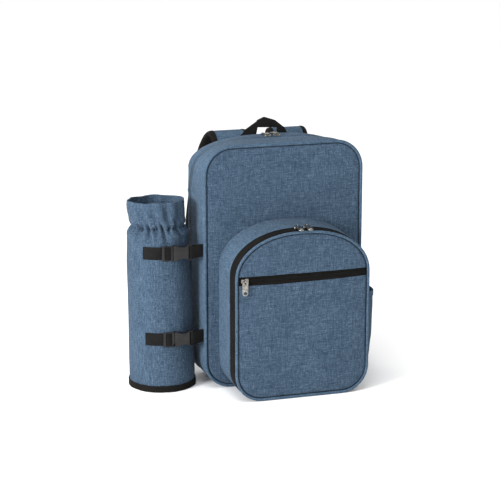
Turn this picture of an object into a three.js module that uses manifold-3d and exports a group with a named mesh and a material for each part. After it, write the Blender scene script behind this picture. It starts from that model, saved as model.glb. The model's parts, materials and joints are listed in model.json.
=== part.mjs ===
// A cooler backpack of foam-backed cloth: a boxy main compartment, an arched front pocket,
// a bottle sleeve buckled to its left side, a side pocket, a carry handle and two shoulder straps.
// Millimetres, +Z up, +Y to the wearer's back. The origin is the middle of the main body's base.

import * as THREE from 'three';
import { mergeVertices } from 'three/addons/utils/BufferGeometryUtils.js';
import Module from 'manifold-3d';

const wasm = await Module();
wasm.setup();

// Clearances and cloth
const gap = 0.3; // between neighbouring pieces
const foamCloth = 2.5; // foam-backed wall of the main body and the pocket
const sleeveCloth = 3; // insulated wall of the bottle sleeve
const plainCloth = 2; // unpadded wall of the side pocket
const zipCloth = 1.2; // zip tape
const zipSink = 0.5; // how far a zip tape lies below the cloth beside it

// Main body
const bodyWidth = 274;
const bodyDepth = 105;
const bodyTop = 408;
const bodyLowCorner = 46;
const bodyFrontCorner = 48; // radius of the upper corners at the front
const bodyRearSlope = 130; // how far across the rear upper corners slope down
const bodyRearDrop = 50;
const bodyRearRound = 20; // the rear edge rolls in to the back panel
const bodyPiping = 2.6; // radius
const backPanelPad = 5;
const bodyZipDepth = 60; // from the front
const bodyZipTape = 8;
const bodyZipEnd = 112; // height of the zip's ends
const bodyZipTaper = 20;

// Front pocket
const pocketMiddle = 4.5; // it sits a little to the wearer's left
const pocketWidth = 229;
const pocketTop = 279.5;
const pocketDepth = 86;
const pocketFlare = 5; // how much wider it is where it is sewn on
const pocketLowCorner = 46;
const pocketArchRise = 74; // from the straight sides to the top of the arch
const pocketArchFlat = 6; // straight middle of the arch, half of it
const pocketPiping = 2.4;
const pocketZipTape = 24;
const pocketZipSetback = 3.2; // from the pocket's front edge
const pocketCrown = 3; // how far the front panel stands out in its middle

// Straight zip across the pocket's front
const bandTop = 210.5;
const bandHeight = 15;
const bandRise = 3; // how much the lower edge rises to its right end
const pocketSliderMiddle = 7; // between the pocket's two sliders
const bodySliderMiddle = -1; // between the main body's two sliders
const bandSliderInset = 15; // from the pocket's left side
const bandSliderDrop = 6; // below the zip's upper edge

// Bottle sleeve
const sleeveRadius = 54.6;
const sleeveHeight = 318;
const sleeveLean = 7.5; // the top leans out by this much
const sleeveSetback = 57; // its middle behind the main body's front
const sleeveSpace = 1; // between its binding and the main body
const sleeveBase = 2.5;
const sleeveBinding = 1.6;
const sleeveBindingHeight = 11;
const gatherCount = 10;
const gatherDepth = 3;

// Webbing and side-release buckles between the sleeve and the main body
const webWidth = 21;
const webThick = 1.4;
const upperBuckleHeight = 236;
const lowerBuckleHeight = 91.5;
const bagWebLength = 20;
const sewnLength = 3; // where the webbing's two layers lie together at the seam
const seamSetback = 6; // of the webbing's seam behind the main body's front
const buckleLength = 31; // the socket
const buckleThick = 8;
const buckleEnd = 5; // thickness of the socket's webbing bar
const buckleEndLength = 8;
const buckleFlare = 25.4; // height at the two ends
const buckleWaist = 18.4;
const ladderThick = 3.4;
const ladderHeight = 24.4;
const ladderBar = 4.4;
const ladderSlot = 2.8;
const tongueLength = 18;
const tongueHeight = 15;
const tabWrap = 42; // degrees of the sleeve that the sewn tab covers

// Side pocket
const sidePocketHeight = 139;
const sidePocketLength = 76;
const sidePocketBulge = 40;
const sidePocketSetback = 48; // its middle behind the main body's front
const sideHemHeight = 9;
const sideHemThick = 3.2;

// Carry handle
const handleSpan = 90;
const handleFoot = 376; // height of its sewn feet
const handleRise = 56.5;
const handleThick = 2.4;
const handleFold = 5.2; // thickness of the folded grip

// Shoulder straps
const strapTop = 408;
const strapReach = 74; // how far they stand off behind the back panel
const strapSpread = 104; // between the straps' middles at the top
const strapWidth = 69;
const strapThick = 10;
const strapBinding = 8; // width of the edge binding
const strapWebWidth = 25;
const adjusterHeight = 33.6; // along the webbing
const adjusterWidth = 32;
const adjusterThick = 3.2;
const adjusterBar = 3.4;
const loopLength = 14; // of the webbing loop that holds the adjuster
const tailLength = 46;
const anchorHeight = 72; // where the lower webbing meets the back panel
const anchorLength = 24;

// Zip sliders and their pull tabs
const sliderLength = 12;
const sliderWidth = 8.2;
const sliderThick = 3;
const wireRadius = 0.65;
const wireLoop = 2.3; // radius of the bridge round the tab's end bar
const hingeLift = 1.6; // of the tab's hinge above the slider
const tabDroop = 6; // degrees that a tab on top of the bag hangs below level
const sliderPitch = 15.5; // between two sliders that meet
const tabLength = 25;
const tabWidth = 9.6;
const tabThick = 1.5;
const tabBar = 1.8;
const tabSlot = 3.4;
const tabHole = 5.4;

// Worked out from the sizes above
const bodyFront = -bodyDepth / 2;
const bodyBack = bodyDepth / 2;
const bodySide = bodyWidth / 2;
const bodyZip = bodyFront + bodyZipDepth;
const pocketFront = bodyFront - pocketDepth;
const pocketRear = bodyFront - zipSink - gap;
const seam = bodyFront + seamSetback;
const radians = Math.PI / 180;

const cloth = { color: 0x4f6c8c, roughness: 0.95, metalness: 0 };
const paleCloth = { color: 0x5f81a6, roughness: 0.95, metalness: 0 };
const black = { color: 0x141416, roughness: 0.9, metalness: 0 };
const plastic = { color: 0x232427, roughness: 0.45, metalness: 0 };
const nickel = { color: 0xb9b4ab, roughness: 0.3, metalness: 1 };

const at = (x, y, z) => new THREE.Vector3(x, y, z);
const mix = (from, to, share) => from + (to - from) * share;

// Closed solids

// Faces are turned round together if they point inwards.
function solid(points, faces) {
  let volume = 0;
  for (const [a, b, c] of faces) {
    volume += points[a].dot(new THREE.Vector3().crossVectors(points[b], points[c]));
  }
  const index = faces.flatMap(([a, b, c]) => (volume > 0 ? [a, b, c] : [a, c, b]));
  const geometry = new THREE.BufferGeometry().setFromPoints(points);
  geometry.setIndex(index);
  return geometry;
}

// Rows of points, each a closed loop, joined to the next row.
// The last row joins the first one on a ring, and otherwise both ends are closed.
function loft(rows, ring = false) {
  const count = rows[0].length;
  const points = rows.flat();
  const faces = [];
  const joins = ring ? rows.length : rows.length - 1;
  for (let row = 0; row < joins; row++) {
    const near = row * count;
    const far = ((row + 1) % rows.length) * count;
    for (let i = 0; i < count; i++) {
      const next = (i + 1) % count;
      faces.push([near + i, near + next, far + next], [near + i, far + next, far + i]);
    }
  }
  if (!ring) {
    closeEnd(points, faces, rows[0], 0, true);
    closeEnd(points, faces, rows[rows.length - 1], (rows.length - 1) * count, false);
  }
  return solid(points, faces);
}

function closeEnd(points, faces, row, first, turned) {
  const middle = row.reduce((sum, point) => sum.add(point), at(0, 0, 0)).divideScalar(row.length);
  const pole = points.push(middle) - 1;
  for (let i = 0; i < row.length; i++) {
    const next = (i + 1) % row.length;
    faces.push(turned ? [pole, first + next, first + i] : [pole, first + i, first + next]);
  }
}

// A flat outline of [across, up] pairs pushed along an axis.
const extrudeBasis = {
  y: [at(1, 0, 0), at(0, 0, 1), at(0, -1, 0)],
  z: [at(1, 0, 0), at(0, 1, 0), at(0, 0, 1)],
};

function extrude(outlinePoints, axis, from, to) {
  const shape = new THREE.Shape(outlinePoints.map(([across, up]) => new THREE.Vector2(across, up)));
  const geometry = new THREE.ExtrudeGeometry(shape, { depth: to - from, bevelEnabled: false });
  const [across, up, along] = extrudeBasis[axis];
  const start = along.clone().multiplyScalar(axis === 'y' ? -to : from);
  return geometry.applyMatrix4(new THREE.Matrix4().makeBasis(across, up, along).setPosition(start));
}

function circle(middleAcross, middleUp, radius, sides) {
  return Array.from({ length: sides }, (_, i) => {
    const turn = (i / sides) * 2 * Math.PI;
    return [middleAcross + radius * Math.cos(turn), middleUp + radius * Math.sin(turn)];
  });
}

// The outline of a strip of even thickness that follows a bent line.
function ribbon(line, thickness) {
  const side = (sign) => line.map((point, i) => {
    const before = line[Math.max(i - 1, 0)];
    const after = line[Math.min(i + 1, line.length - 1)];
    const into = new THREE.Vector2(point[0] - before[0], point[1] - before[1]);
    const out = new THREE.Vector2(after[0] - point[0], after[1] - point[1]);
    if (i === 0) into.copy(out);
    if (i === line.length - 1) out.copy(into);
    into.normalize();
    out.normalize();
    const bend = into.clone().add(out).normalize();
    const reach = (sign * thickness) / 2 / bend.dot(into);
    return [point[0] - bend.y * reach, point[1] + bend.x * reach];
  });
  return [...side(1), ...side(-1).reverse()];
}

// Joins and cuts
function toManifold(geometry) {
  const bare = geometry.clone();
  bare.deleteAttribute('normal');
  bare.deleteAttribute('uv');
  const merged = mergeVertices(bare, 1e-4);
  return new wasm.Manifold(new wasm.Mesh({
    numProp: 3,
    vertProperties: new Float32Array(merged.attributes.position.array),
    triVerts: new Uint32Array(merged.index.array),
  }));
}

function fromManifold(body) {
  const mesh = body.getMesh();
  const geometry = new THREE.BufferGeometry();
  geometry.setAttribute('position', new THREE.BufferAttribute(mesh.vertProperties, 3));
  geometry.setIndex(new THREE.BufferAttribute(mesh.triVerts, 1));
  return geometry;
}

const join = (...pieces) => fromManifold(pieces.map(toManifold).reduce((all, piece) => all.add(piece)));
const common = (a, b) => fromManifold(toManifold(a).intersect(toManifold(b)));

function cut(geometry, ...tools) {
  const subtract = (rest, tool) => rest.subtract(toManifold(tool));
  return fromManifold(tools.reduce(subtract, toManifold(geometry)));
}

// Rounded outlines of the main body and the pocket, seen from the front
const lowSteps = 5;

// A quarter of a superellipse from the side to the top, as shares of its two lengths.
function quarter(steps, power) {
  return Array.from({ length: steps + 1 }, (_, step) => {
    const turn = (step / steps) * (Math.PI / 2);
    return {
      across: Math.cos(turn) ** (2 / power),
      up: Math.max(Math.sin(turn), 0) ** (2 / power),
    };
  });
}

// The same number of points for every inset, anticlockwise from the middle of the bottom.
function outline(shape, inset) {
  const half = shape.width / 2 - inset;
  const low = shape.low - inset;
  const across = shape.highAcross - inset;
  const up = shape.highUp - inset;
  const right = [
    ...quarter(lowSteps, 2).reverse().map((share) => [
      half - low + low * share.across,
      shape.bottom + inset + low - low * share.up,
    ]),
    ...shape.stops.map((height) => [half, height]),
    ...quarter(shape.highSteps, shape.power).map((share) => [
      half - across + across * share.across,
      shape.top - inset - up + up * share.up,
    ]),
  ];
  const loop = [
    [0, shape.bottom + inset],
    ...right,
    [0, shape.top - inset],
    ...right.map(([x, z]) => [-x, z]).reverse(),
  ];
  return loop.map(([x, z]) => [shape.middle + x, z]);
}

function between(front, rear, share) {
  const shape = { ...front };
  for (const size of ['width', 'bottom', 'top', 'highAcross', 'highUp', 'power']) {
    shape[size] = mix(front[size], rear[size], share);
  }
  return shape;
}

const bodyShape = {
  middle: 0,
  width: bodyWidth,
  bottom: 0,
  top: bodyTop,
  low: bodyLowCorner,
  highAcross: bodyFrontCorner,
  highUp: bodyFrontCorner,
  power: 2,
  highSteps: 6,
  stops: [bodyZipEnd - 2 * gap, bodyZipEnd, bodyZipEnd + bodyZipTaper],
};
const bodyRearShape = {
  ...bodyShape,
  highAcross: bodyRearSlope,
  highUp: bodyRearDrop,
  power: 2.3,
};
const pocketShape = {
  middle: pocketMiddle,
  width: pocketWidth,
  bottom: 0,
  top: pocketTop,
  low: pocketLowCorner,
  highAcross: pocketWidth / 2 - pocketArchFlat,
  highUp: pocketArchRise,
  power: 2.1,
  highSteps: 9,
  stops: [bandTop - bandHeight],
};
const pocketRearShape = {
  ...pocketShape,
  width: pocketWidth + pocketFlare,
  bottom: 2 * bodyPiping + 2 * gap, // clears the main body's piping
  top: pocketTop + pocketFlare / 2,
  highAcross: (pocketWidth + pocketFlare) / 2 - pocketArchFlat,
};

function bodyAt(y) {
  const share = (y - bodyFront) / (bodyDepth - bodyRearRound);
  return between(bodyShape, bodyRearShape, Math.min(share, 1));
}

const pocketAt = (y) => between(pocketShape, pocketRearShape, (y - pocketFront) / pocketDepth);

// A ring round the bag. Each point of its section has an inset and a depth y,
// and the depth may shift from one outline point to the next.
function hoop(shapeAt, section, shift = () => 0) {
  const rows = section.map(({ inset, y, edge = 0 }) => outline(shapeAt(y), inset).map(
    ([x, z], i) => at(x, y + edge * shift(i), z),
  ));
  return loft(rows, true);
}

// A round cord in cloth, its outer side in line with the gusset behind it.
const pipingSides = 8;

function pipingRing(shapeAt, y, radius) {
  const section = circle(y, radius, radius, pipingSides);
  return hoop(() => shapeAt(y), section.map(([across, up]) => ({ inset: up, y: across })));
}

// A flat or crowned panel inside an outline, built as rings that close in on its middle.
const panelRings = [1, 0.86, 0.5];

function panel(shape, inset, y, thickness, crown) {
  const middle = shape.top / 2;
  const rings = crown > 0 ? panelRings : [1];
  const ringAt = (share, front) => outline(shape, inset).map(([x, z]) => at(
    mix(shape.middle, x, share),
    y + front - crown * (1 - share ** 2),
    mix(middle, z, share),
  ));
  return loft([
    ...rings.map((share) => ringAt(share, 0)).reverse(),
    ...rings.map((share) => ringAt(share, thickness)),
  ]);
}

// Main body

// The two gussets leave room for the zip tape over the top and down the sides,
// and meet each other below its ends.
const zipFirst = lowSteps + 3;
const zipLast = outline(bodyShape, 0).length - zipFirst;

function zipHalf(i) {
  if (i < zipFirst || i > zipLast) return 0;
  return i === zipFirst || i === zipLast ? gap : bodyZipTape / 2;
}

const zipRoom = (i) => (zipHalf(i) === 0 ? gap / 2 : zipHalf(i) + gap);

function mainFrontGusset() {
  const edge = bodyFront + bodyPiping + gap;
  return hoop(bodyAt, [
    { inset: 0, y: edge },
    { inset: 0, y: bodyZip, edge: -1 },
    { inset: foamCloth, y: bodyZip, edge: -1 },
    { inset: foamCloth, y: edge },
  ], zipRoom);
}

function mainRearGusset() {
  const start = bodyBack - bodyRearRound;
  const roll = [0, 30, 60, 90].map((turn) => turn * radians);
  const inside = bodyRearRound - foamCloth;
  const outer = roll.map((turn) => ({
    inset: bodyRearRound * (1 - Math.cos(turn)),
    y: start + bodyRearRound * Math.sin(turn),
  }));
  const inner = roll.map((turn) => ({
    inset: bodyRearRound - inside * Math.cos(turn),
    y: start + inside * Math.sin(turn),
  }));
  return hoop(bodyAt, [
    { inset: foamCloth, y: bodyZip, edge: 1 },
    { inset: 0, y: bodyZip, edge: 1 },
    ...outer,
    ...inner.reverse(),
  ], zipRoom);
}

function mainZipTape() {
  const rows = [];
  for (let i = zipFirst; i <= zipLast; i++) {
    const corner = (inset, sign) => {
      const [x, z] = outline(bodyAt(bodyZip), inset)[i];
      return at(x, bodyZip + sign * zipHalf(i), z);
    };
    const under = zipSink + zipCloth;
    rows.push([corner(zipSink, -1), corner(zipSink, 1), corner(under, 1), corner(under, -1)]);
  }
  return loft(rows);
}

const mainFrontPanel = () => panel(
  bodyShape, 2 * bodyPiping + gap, bodyFront - zipSink, foamCloth, 0,
);
const mainBackPanel = () => panel(
  bodyRearShape, bodyRearRound + gap, bodyBack - backPanelPad, backPanelPad, 0,
);

// Front pocket
const pocketZipFront = pocketFront + pocketZipSetback;
const pocketZipRear = pocketZipFront + pocketZipTape;
const pocketZipMiddle = (pocketZipFront + pocketZipRear) / 2;

const pocketGusset = () => hoop(pocketAt, [
  { inset: 0, y: pocketZipRear + gap },
  { inset: 0, y: pocketRear },
  { inset: foamCloth, y: pocketRear },
  { inset: foamCloth, y: pocketZipRear + gap },
]);

const pocketZip = () => hoop(pocketAt, [
  { inset: zipSink, y: pocketZipFront },
  { inset: zipSink, y: pocketZipRear },
  { inset: zipSink + zipCloth, y: pocketZipRear },
  { inset: zipSink + zipCloth, y: pocketZipFront },
]);

const pocketPanelInset = 2 * pocketPiping + gap;
const pocketPanel = (sink, thickness) => panel(
  pocketShape, pocketPanelInset, pocketFront - zipSink + sink, thickness, pocketCrown,
);

// The lower edge of the straight zip sags in its middle and rises to its right end.
const bandEdge = [
  { across: -1, down: 0.92 },
  { across: -0.4, down: 1 },
  { across: 0.3, down: 0.96 },
  { across: 1, down: 1, rise: 1 },
];

function bandRegion(from, to) {
  const reach = pocketWidth;
  const lower = bandEdge.map(({ across, down, rise = 0 }) => [
    pocketMiddle + (across * pocketWidth) / 2,
    bandTop - bandHeight * down + bandRise * rise,
  ]);
  const edges = {
    floor: [[reach, -reach], [-reach, -reach]],
    lower: (shift) => [
      [-reach, lower[0][1] + shift],
      ...lower.map(([x, z]) => [x, z + shift]),
      [reach, lower[lower.length - 1][1] + shift],
    ],
    upper: (shift) => [[reach, bandTop + shift], [-reach, bandTop + shift]],
    ceiling: [[reach, bodyTop], [-reach, bodyTop]],
  };
  const start = pocketFront - pocketDepth;
  if (from === 'floor') return extrude([...edges.lower(-gap), ...edges.floor], 'y', start, bodyFront);
  if (to === 'ceiling') {
    return extrude([...edges.upper(gap).reverse(), ...edges.ceiling], 'y', start, bodyFront);
  }
  return extrude([...edges.lower(0), ...edges.upper(0)], 'y', start, bodyFront);
}

const pocketLowerPanel = () => common(pocketPanel(0, foamCloth), bandRegion('floor', 'lower'));
const pocketUpperPanel = () => common(pocketPanel(0, foamCloth), bandRegion('upper', 'ceiling'));
const frontZipTape = () => common(pocketPanel(zipSink, zipCloth), bandRegion('lower', 'upper'));

// Bottle sleeve
const sleeveSides = gatherCount * 4;
const sleeveMiddle = -(bodySide + sleeveSpace + sleeveBinding + gap + sleeveRadius);
const sleeveDepth = bodyFront + sleeveSetback;

// Shares of the sleeve's height, radius, lean and gather depth.
const sleeveRows = [
  { up: 0, radius: 1, lean: 0, gather: 0 },
  { up: 0.036, radius: 1, lean: 0, gather: 0 },
  { up: 0.45, radius: 0.99, lean: 0.28, gather: 0 },
  { up: 0.7, radius: 0.95, lean: 0.6, gather: 0 },
  { up: 0.79, radius: 0.93, lean: 0.66, gather: 0.1 },
  { up: 0.83, radius: 0.87, lean: 0.66, gather: 0.55 },
  { up: 0.853, radius: 0.775, lean: 0.64, gather: 1 },
  { up: 0.88, radius: 0.785, lean: 0.68, gather: 0.85 },
  { up: 0.92, radius: 0.845, lean: 0.86, gather: 0.4 },
  { up: 0.965, radius: 0.87, lean: 0.98, gather: 0.25 },
  { up: 1, radius: 0.85, lean: 1, gather: 0.35 },
];

const rimDrop = 5; // the rim is lower at the back
const rimShare = 0.9; // the part of the height above which it slopes
const sleeveStart = sleeveBase + gap;

function sleeveAt(height) {
  const share = (height - sleeveStart) / (sleeveHeight - sleeveStart);
  const above = Math.max(sleeveRows.findIndex((row) => row.up >= share), 1);
  const [low, high] = [sleeveRows[above - 1], sleeveRows[above]];
  const along = (share - low.up) / (high.up - low.up);
  return {
    radius: sleeveRadius * mix(low.radius, high.radius, along),
    middle: sleeveMiddle - sleeveLean * mix(low.lean, high.lean, along),
  };
}

function sleeveLoop(row, wall) {
  return Array.from({ length: sleeveSides }, (_, i) => {
    const turn = (i / sleeveSides) * 2 * Math.PI;
    const pucker = 0.5 - 0.5 * Math.cos(gatherCount * turn + Math.sin(2 * turn));
    const radius = sleeveRadius * row.radius - wall - gatherDepth * row.gather * pucker;
    const rim = Math.max(row.up - rimShare, 0) / (1 - rimShare);
    const height = mix(sleeveStart, sleeveHeight, row.up) - rim * rimDrop * (0.5 - 0.5 * Math.cos(turn));
    return at(
      sleeveMiddle - sleeveLean * row.lean + radius * Math.sin(turn),
      sleeveDepth - radius * Math.cos(turn),
      height,
    );
  });
}

const bottleSleeve = () => loft([
  ...sleeveRows.map((row) => sleeveLoop(row, 0)),
  ...sleeveRows.map((row) => sleeveLoop(row, sleeveCloth)).reverse(),
], true);

// A flat disc or ring round the sleeve's axis, from one height to another.
const sleeveCircle = (radius, height) => Array.from({ length: sleeveSides }, (_, i) => {
  const turn = (i / sleeveSides) * 2 * Math.PI;
  return at(sleeveMiddle + radius * Math.sin(turn), sleeveDepth - radius * Math.cos(turn), height);
});

const sleeveBasePlate = () => loft([sleeveCircle(sleeveRadius, 0), sleeveCircle(sleeveRadius, sleeveBase)]);

const sleeveBindingRing = () => loft([
  sleeveCircle(sleeveRadius + gap, 0),
  sleeveCircle(sleeveRadius + gap + sleeveBinding, gap),
  sleeveCircle(sleeveRadius + gap + sleeveBinding, sleeveBindingHeight - gap),
  sleeveCircle(sleeveRadius + gap, sleeveBindingHeight),
], true);

// Buckled straps between the sleeve and the main body
const socketRight = -(bodySide + bagWebLength);
const socketLeft = socketRight - buckleLength;
const ladderRight = socketLeft - gap;
const slotTwo = ladderRight - ladderBar - ladderSlot / 2;
const slotOne = slotTwo - ladderSlot - ladderBar;
const ladderLeft = slotOne - ladderSlot / 2 - ladderBar;
const webSlotHeight = webWidth + 2 * gap;
const tabSteps = 6; // flats of the sewn tab round the sleeve

// Half heights of the socket from its mouth to its webbing bar: shares of its length,
// and how far each goes from the waist's height to the flare's.
const socketRows = [
  { along: 0, flare: 1 },
  { along: 0.1, flare: 1 },
  { along: 0.3, flare: 0.3 },
  { along: 0.62, flare: 0 },
  { along: 0.8, flare: 1 },
  { along: 1, flare: 1 },
];
const housingEnd = 0.8; // the thick housing's share of the socket's length
const barStart = 0.62; // where the thinner bar end starts inside it

function buckledStrap(height) {
  const bottom = height - webWidth / 2;
  const top = height + webWidth / 2;
  const { middle } = sleeveAt(height);
  const widest = Math.max(...[bottom, top].map(sleeveAt).map(
    (section) => section.radius + Math.abs(section.middle - middle),
  ));
  const wrap = widest + gap + webThick / 2; // radius of the sewn tab's middle layer
  const layer = gap + webThick / 2; // from a bar's face to the webbing's middle
  const tabLine = sleeveDepth - wrap;
  const plane = tabLine - layer - ladderThick / 2; // the buckle's middle plane

  const arc = Array.from({ length: tabSteps + 1 }, (_, step) => {
    const turn = -tabWrap * (1 - step / tabSteps) * radians;
    return [middle + wrap * Math.sin(turn), sleeveDepth - wrap * Math.cos(turn)];
  });
  const overBar = plane - ladderThick / 2 - layer;
  const tab = extrude(ribbon([
    ...arc, [slotTwo, tabLine], [slotTwo, overBar], [slotOne, overBar], [slotOne, plane],
  ], webThick), 'z', bottom, top);

  const rectangle = (left, right, high) => [
    [left, height - high / 2], [right, height - high / 2],
    [right, height + high / 2], [left, height + high / 2],
  ];
  const slot = (middleX) => rectangle(middleX - ladderSlot / 2, middleX + ladderSlot / 2, webSlotHeight);
  const plate = (shape) => extrude(shape, 'y', plane - ladderThick / 2, plane + ladderThick / 2);
  const through = (shape) => extrude(shape, 'y', plane - buckleThick, plane + buckleThick);
  const ladder = plate(rectangle(ladderLeft, ladderRight, ladderHeight));
  const tongue = plate(rectangle(ladderRight - gap, ladderRight + tongueLength, tongueHeight));
  const plug = cut(join(ladder, tongue), through(slot(slotOne)), through(slot(slotTwo)));

  const shell = (from, to, thickness) => {
    const part = socketRows.filter(({ along }) => along >= from && along <= to);
    const edge = (sign) => part.map(({ along, flare }) => [
      mix(socketLeft, socketRight, along),
      height + (sign * mix(buckleWaist, buckleFlare, flare)) / 2,
    ]);
    const shape = [...edge(-1), ...edge(1).reverse()];
    return extrude(shape, 'y', plane - thickness / 2, plane + thickness / 2);
  };
  const webSlot = socketRight - buckleEndLength / 2;
  const cavity = ladderThick / 2 + gap;
  const room = rectangle(socketLeft - gap, socketLeft + tongueLength + 2 * gap, tongueHeight + 2 * gap);
  const socket = cut(
    join(shell(0, housingEnd, buckleThick), shell(barStart, 1, buckleEnd)),
    extrude(room, 'y', plane - cavity, plane + cavity),
    through(slot(webSlot)),
  );

  const round = buckleEnd / 2 + layer;
  const sewn = (webThick + gap) / 2;
  const webTurn = webThick + 2 * gap; // the webbing runs straight this far past the socket
  const end = -bodySide - gap;
  const web = extrude(ribbon([
    [end, seam + sewn],
    [end - sewnLength, seam + sewn],
    [socketRight + webTurn, plane + round],
    [webSlot, plane + round],
    [webSlot, plane - round],
    [socketRight + webTurn, plane - round],
    [end - sewnLength, seam - sewn],
    [end, seam - sewn],
  ], webThick), 'z', bottom, top);
  return { tab, plug, socket, web };
}

// Side pocket, a cup whose open side is the main body's side
const pocketRows = [
  { up: 0, bulge: 0.8 },
  { up: 0.12, bulge: 0.92 },
  { up: 0.45, bulge: 0.99 },
  { up: 0.85, bulge: 1 },
  { up: 1, bulge: 0.98 },
];
const sidePocketDepth = bodyFront + sidePocketSetback;
const bulgePower = 2.6;
const bulgeSteps = 12;

function sideLoop(bulge, inset, height) {
  const inwards = bodySide - bodyLowCorner - sidePocketBulge;
  const half = sidePocketLength / 2 - inset;
  const curve = Array.from({ length: bulgeSteps + 1 }, (_, step) => {
    const turn = (step / bulgeSteps - 0.5) * Math.PI;
    const depth = Math.sign(turn) * Math.abs(Math.sin(turn)) ** (2 / bulgePower);
    return at(
      bodySide + (bulge * sidePocketBulge - inset) * Math.abs(Math.cos(turn)) ** (2 / bulgePower),
      sidePocketDepth + half * depth,
      height,
    );
  });
  return [...curve, at(inwards, sidePocketDepth + half, height), at(inwards, sidePocketDepth - half, height)];
}

function bodyEnvelope() {
  const loop = (y) => outline(bodyShape, -gap).map(([x, z]) => at(x, y, z - gap));
  return loft([loop(bodyFront), loop(bodyBack)]);
}

function sidePocket() {
  const top = sidePocketHeight - sideHemHeight - gap;
  const outer = loft(pocketRows.map(({ up, bulge }) => sideLoop(bulge, 0, up * top)));
  const inner = loft(pocketRows.map(({ up, bulge }, i) => {
    const height = Math.max(up * top, plainCloth) + (i === pocketRows.length - 1 ? plainCloth : 0);
    return sideLoop(bulge, plainCloth, height);
  }));
  return cut(outer, inner, bodyEnvelope());
}

function sidePocketHem() {
  const low = sidePocketHeight - sideHemHeight;
  const { bulge } = pocketRows[pocketRows.length - 1];
  const outer = loft([
    sideLoop(bulge, 0, low),
    sideLoop(bulge, gap, sidePocketHeight - sideHemHeight / 2),
    sideLoop(bulge, sideHemThick / 2, sidePocketHeight),
  ]);
  const inner = loft([
    sideLoop(bulge, sideHemThick, low - gap),
    sideLoop(bulge, sideHemThick, sidePocketHeight + gap),
  ]);
  return cut(outer, inner, bodyEnvelope());
}

// Carry handle: shares of its half span and of its rise
const handleOuter = [
  { across: -1, up: 0 },
  { across: -0.98, up: 0.42 },
  { across: -0.72, up: 0.66 },
  { across: -0.2, up: 0.93 },
  { across: 0.02, up: 1 },
  { across: 0.44, up: 0.89 },
  { across: 0.8, up: 0.66 },
  { across: 0.96, up: 0.42 },
  { across: 1, up: 0 },
];
const handleInner = [
  { across: 0.5, up: 0 },
  { across: 0.5, up: 0.67 },
  { across: -0.25, up: 0.7 },
  { across: -0.33, up: 0.4 },
  { across: -0.4, up: 0 },
];
const gripShare = [-0.27, 0.4];

function carryHandle() {
  const place = ({ across, up }) => [(across * handleSpan) / 2, handleFoot + up * handleRise];
  const start = bodyBack + gap;
  const loop = extrude([...handleOuter, ...handleInner].map(place), 'y', start, start + handleThick);
  const [left, right] = gripShare.map((share) => (share * handleSpan) / 2);
  const gripBox = extrude([
    [left, handleFoot + handleRise / 2], [right, handleFoot + handleRise / 2],
    [right, handleFoot + 2 * handleRise], [left, handleFoot + 2 * handleRise],
  ], 'y', bodyFront, bodyBack * 2);
  const thick = extrude([...handleOuter, ...handleInner].map(place), 'y', start, start + handleFold);
  return join(loop, common(thick, gripBox));
}

// Shoulder straps
// Shares of the stand-off, the top height, half the spread, the width and the thickness.
const strapRows = [
  { off: 0, up: 0.82, out: 0.96, width: 0.92, thick: 0.5 },
  { off: 0, up: 0.875, out: 0.96, width: 0.96, thick: 0.62 },
  { off: 0.12, up: 0.935, out: 0.97, width: 0.99, thick: 0.9 },
  { off: 0.3, up: 0.978, out: 0.99, width: 1, thick: 1 },
  { off: 0.52, up: 0.9877, out: 1, width: 1, thick: 1 },
  { off: 0.74, up: 0.966, out: 1.05, width: 1, thick: 1 },
  { off: 0.89, up: 0.915, out: 1.17, width: 1, thick: 1 },
  { off: 0.97, up: 0.845, out: 1.29, width: 1, thick: 1 },
  { off: 1, up: 0.75, out: 1.44, width: 0.99, thick: 1 },
  { off: 0.98, up: 0.65, out: 1.58, width: 0.96, thick: 1 },
  { off: 0.91, up: 0.56, out: 1.74, width: 0.86, thick: 1 },
  { off: 0.8, up: 0.49, out: 1.85, width: 0.72, thick: 0.95 },
  { off: 0.73, up: 0.455, out: 1.89, width: 0.62, thick: 0.9 },
];
const strapFace = bodyBack + gap;
const sewnRows = 2; // the first rows lie flat on the back panel
const strapEdge = 1; // the pad's faces slope this much to its edges

// The left strap. The right one is its mirror image.
function strapStations() {
  const middles = strapRows.map(({ off, up, out, thick }) => at(
    (-out * strapSpread) / 2,
    strapFace + off * strapReach + (thick * strapThick) / 2,
    up * strapTop,
  ));
  return strapRows.map((row, i) => {
    const before = middles[Math.max(i - 1, 0)];
    const after = middles[Math.min(i + 1, middles.length - 1)];
    const along = after.clone().sub(before).setX(0).normalize();
    return {
      middle: middles[i],
      along: i < sewnRows ? at(0, 0, 1) : along,
      normal: i < sewnRows ? at(0, 1, 0) : at(0, along.z, -along.y),
      half: (row.width * strapWidth) / 2,
      thick: row.thick * strapThick,
    };
  });
}

const offset = ({ middle, along, normal }, x, up, out = 0) => middle.clone()
  .add(at(x, 0, 0)).addScaledVector(normal, up).addScaledVector(along, out);

function strapPad() {
  return loft(strapStations().map((station) => {
    const half = station.half - strapBinding - gap;
    const top = station.thick / 2;
    const edge = top - strapEdge;
    return [
      [-half, -edge], [-half / 2, -top], [half / 2, -top], [half, -edge],
      [half, edge], [half / 2, top], [-half / 2, top], [-half, edge],
    ].map(([x, up]) => offset(station, x, up));
  }));
}

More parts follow.
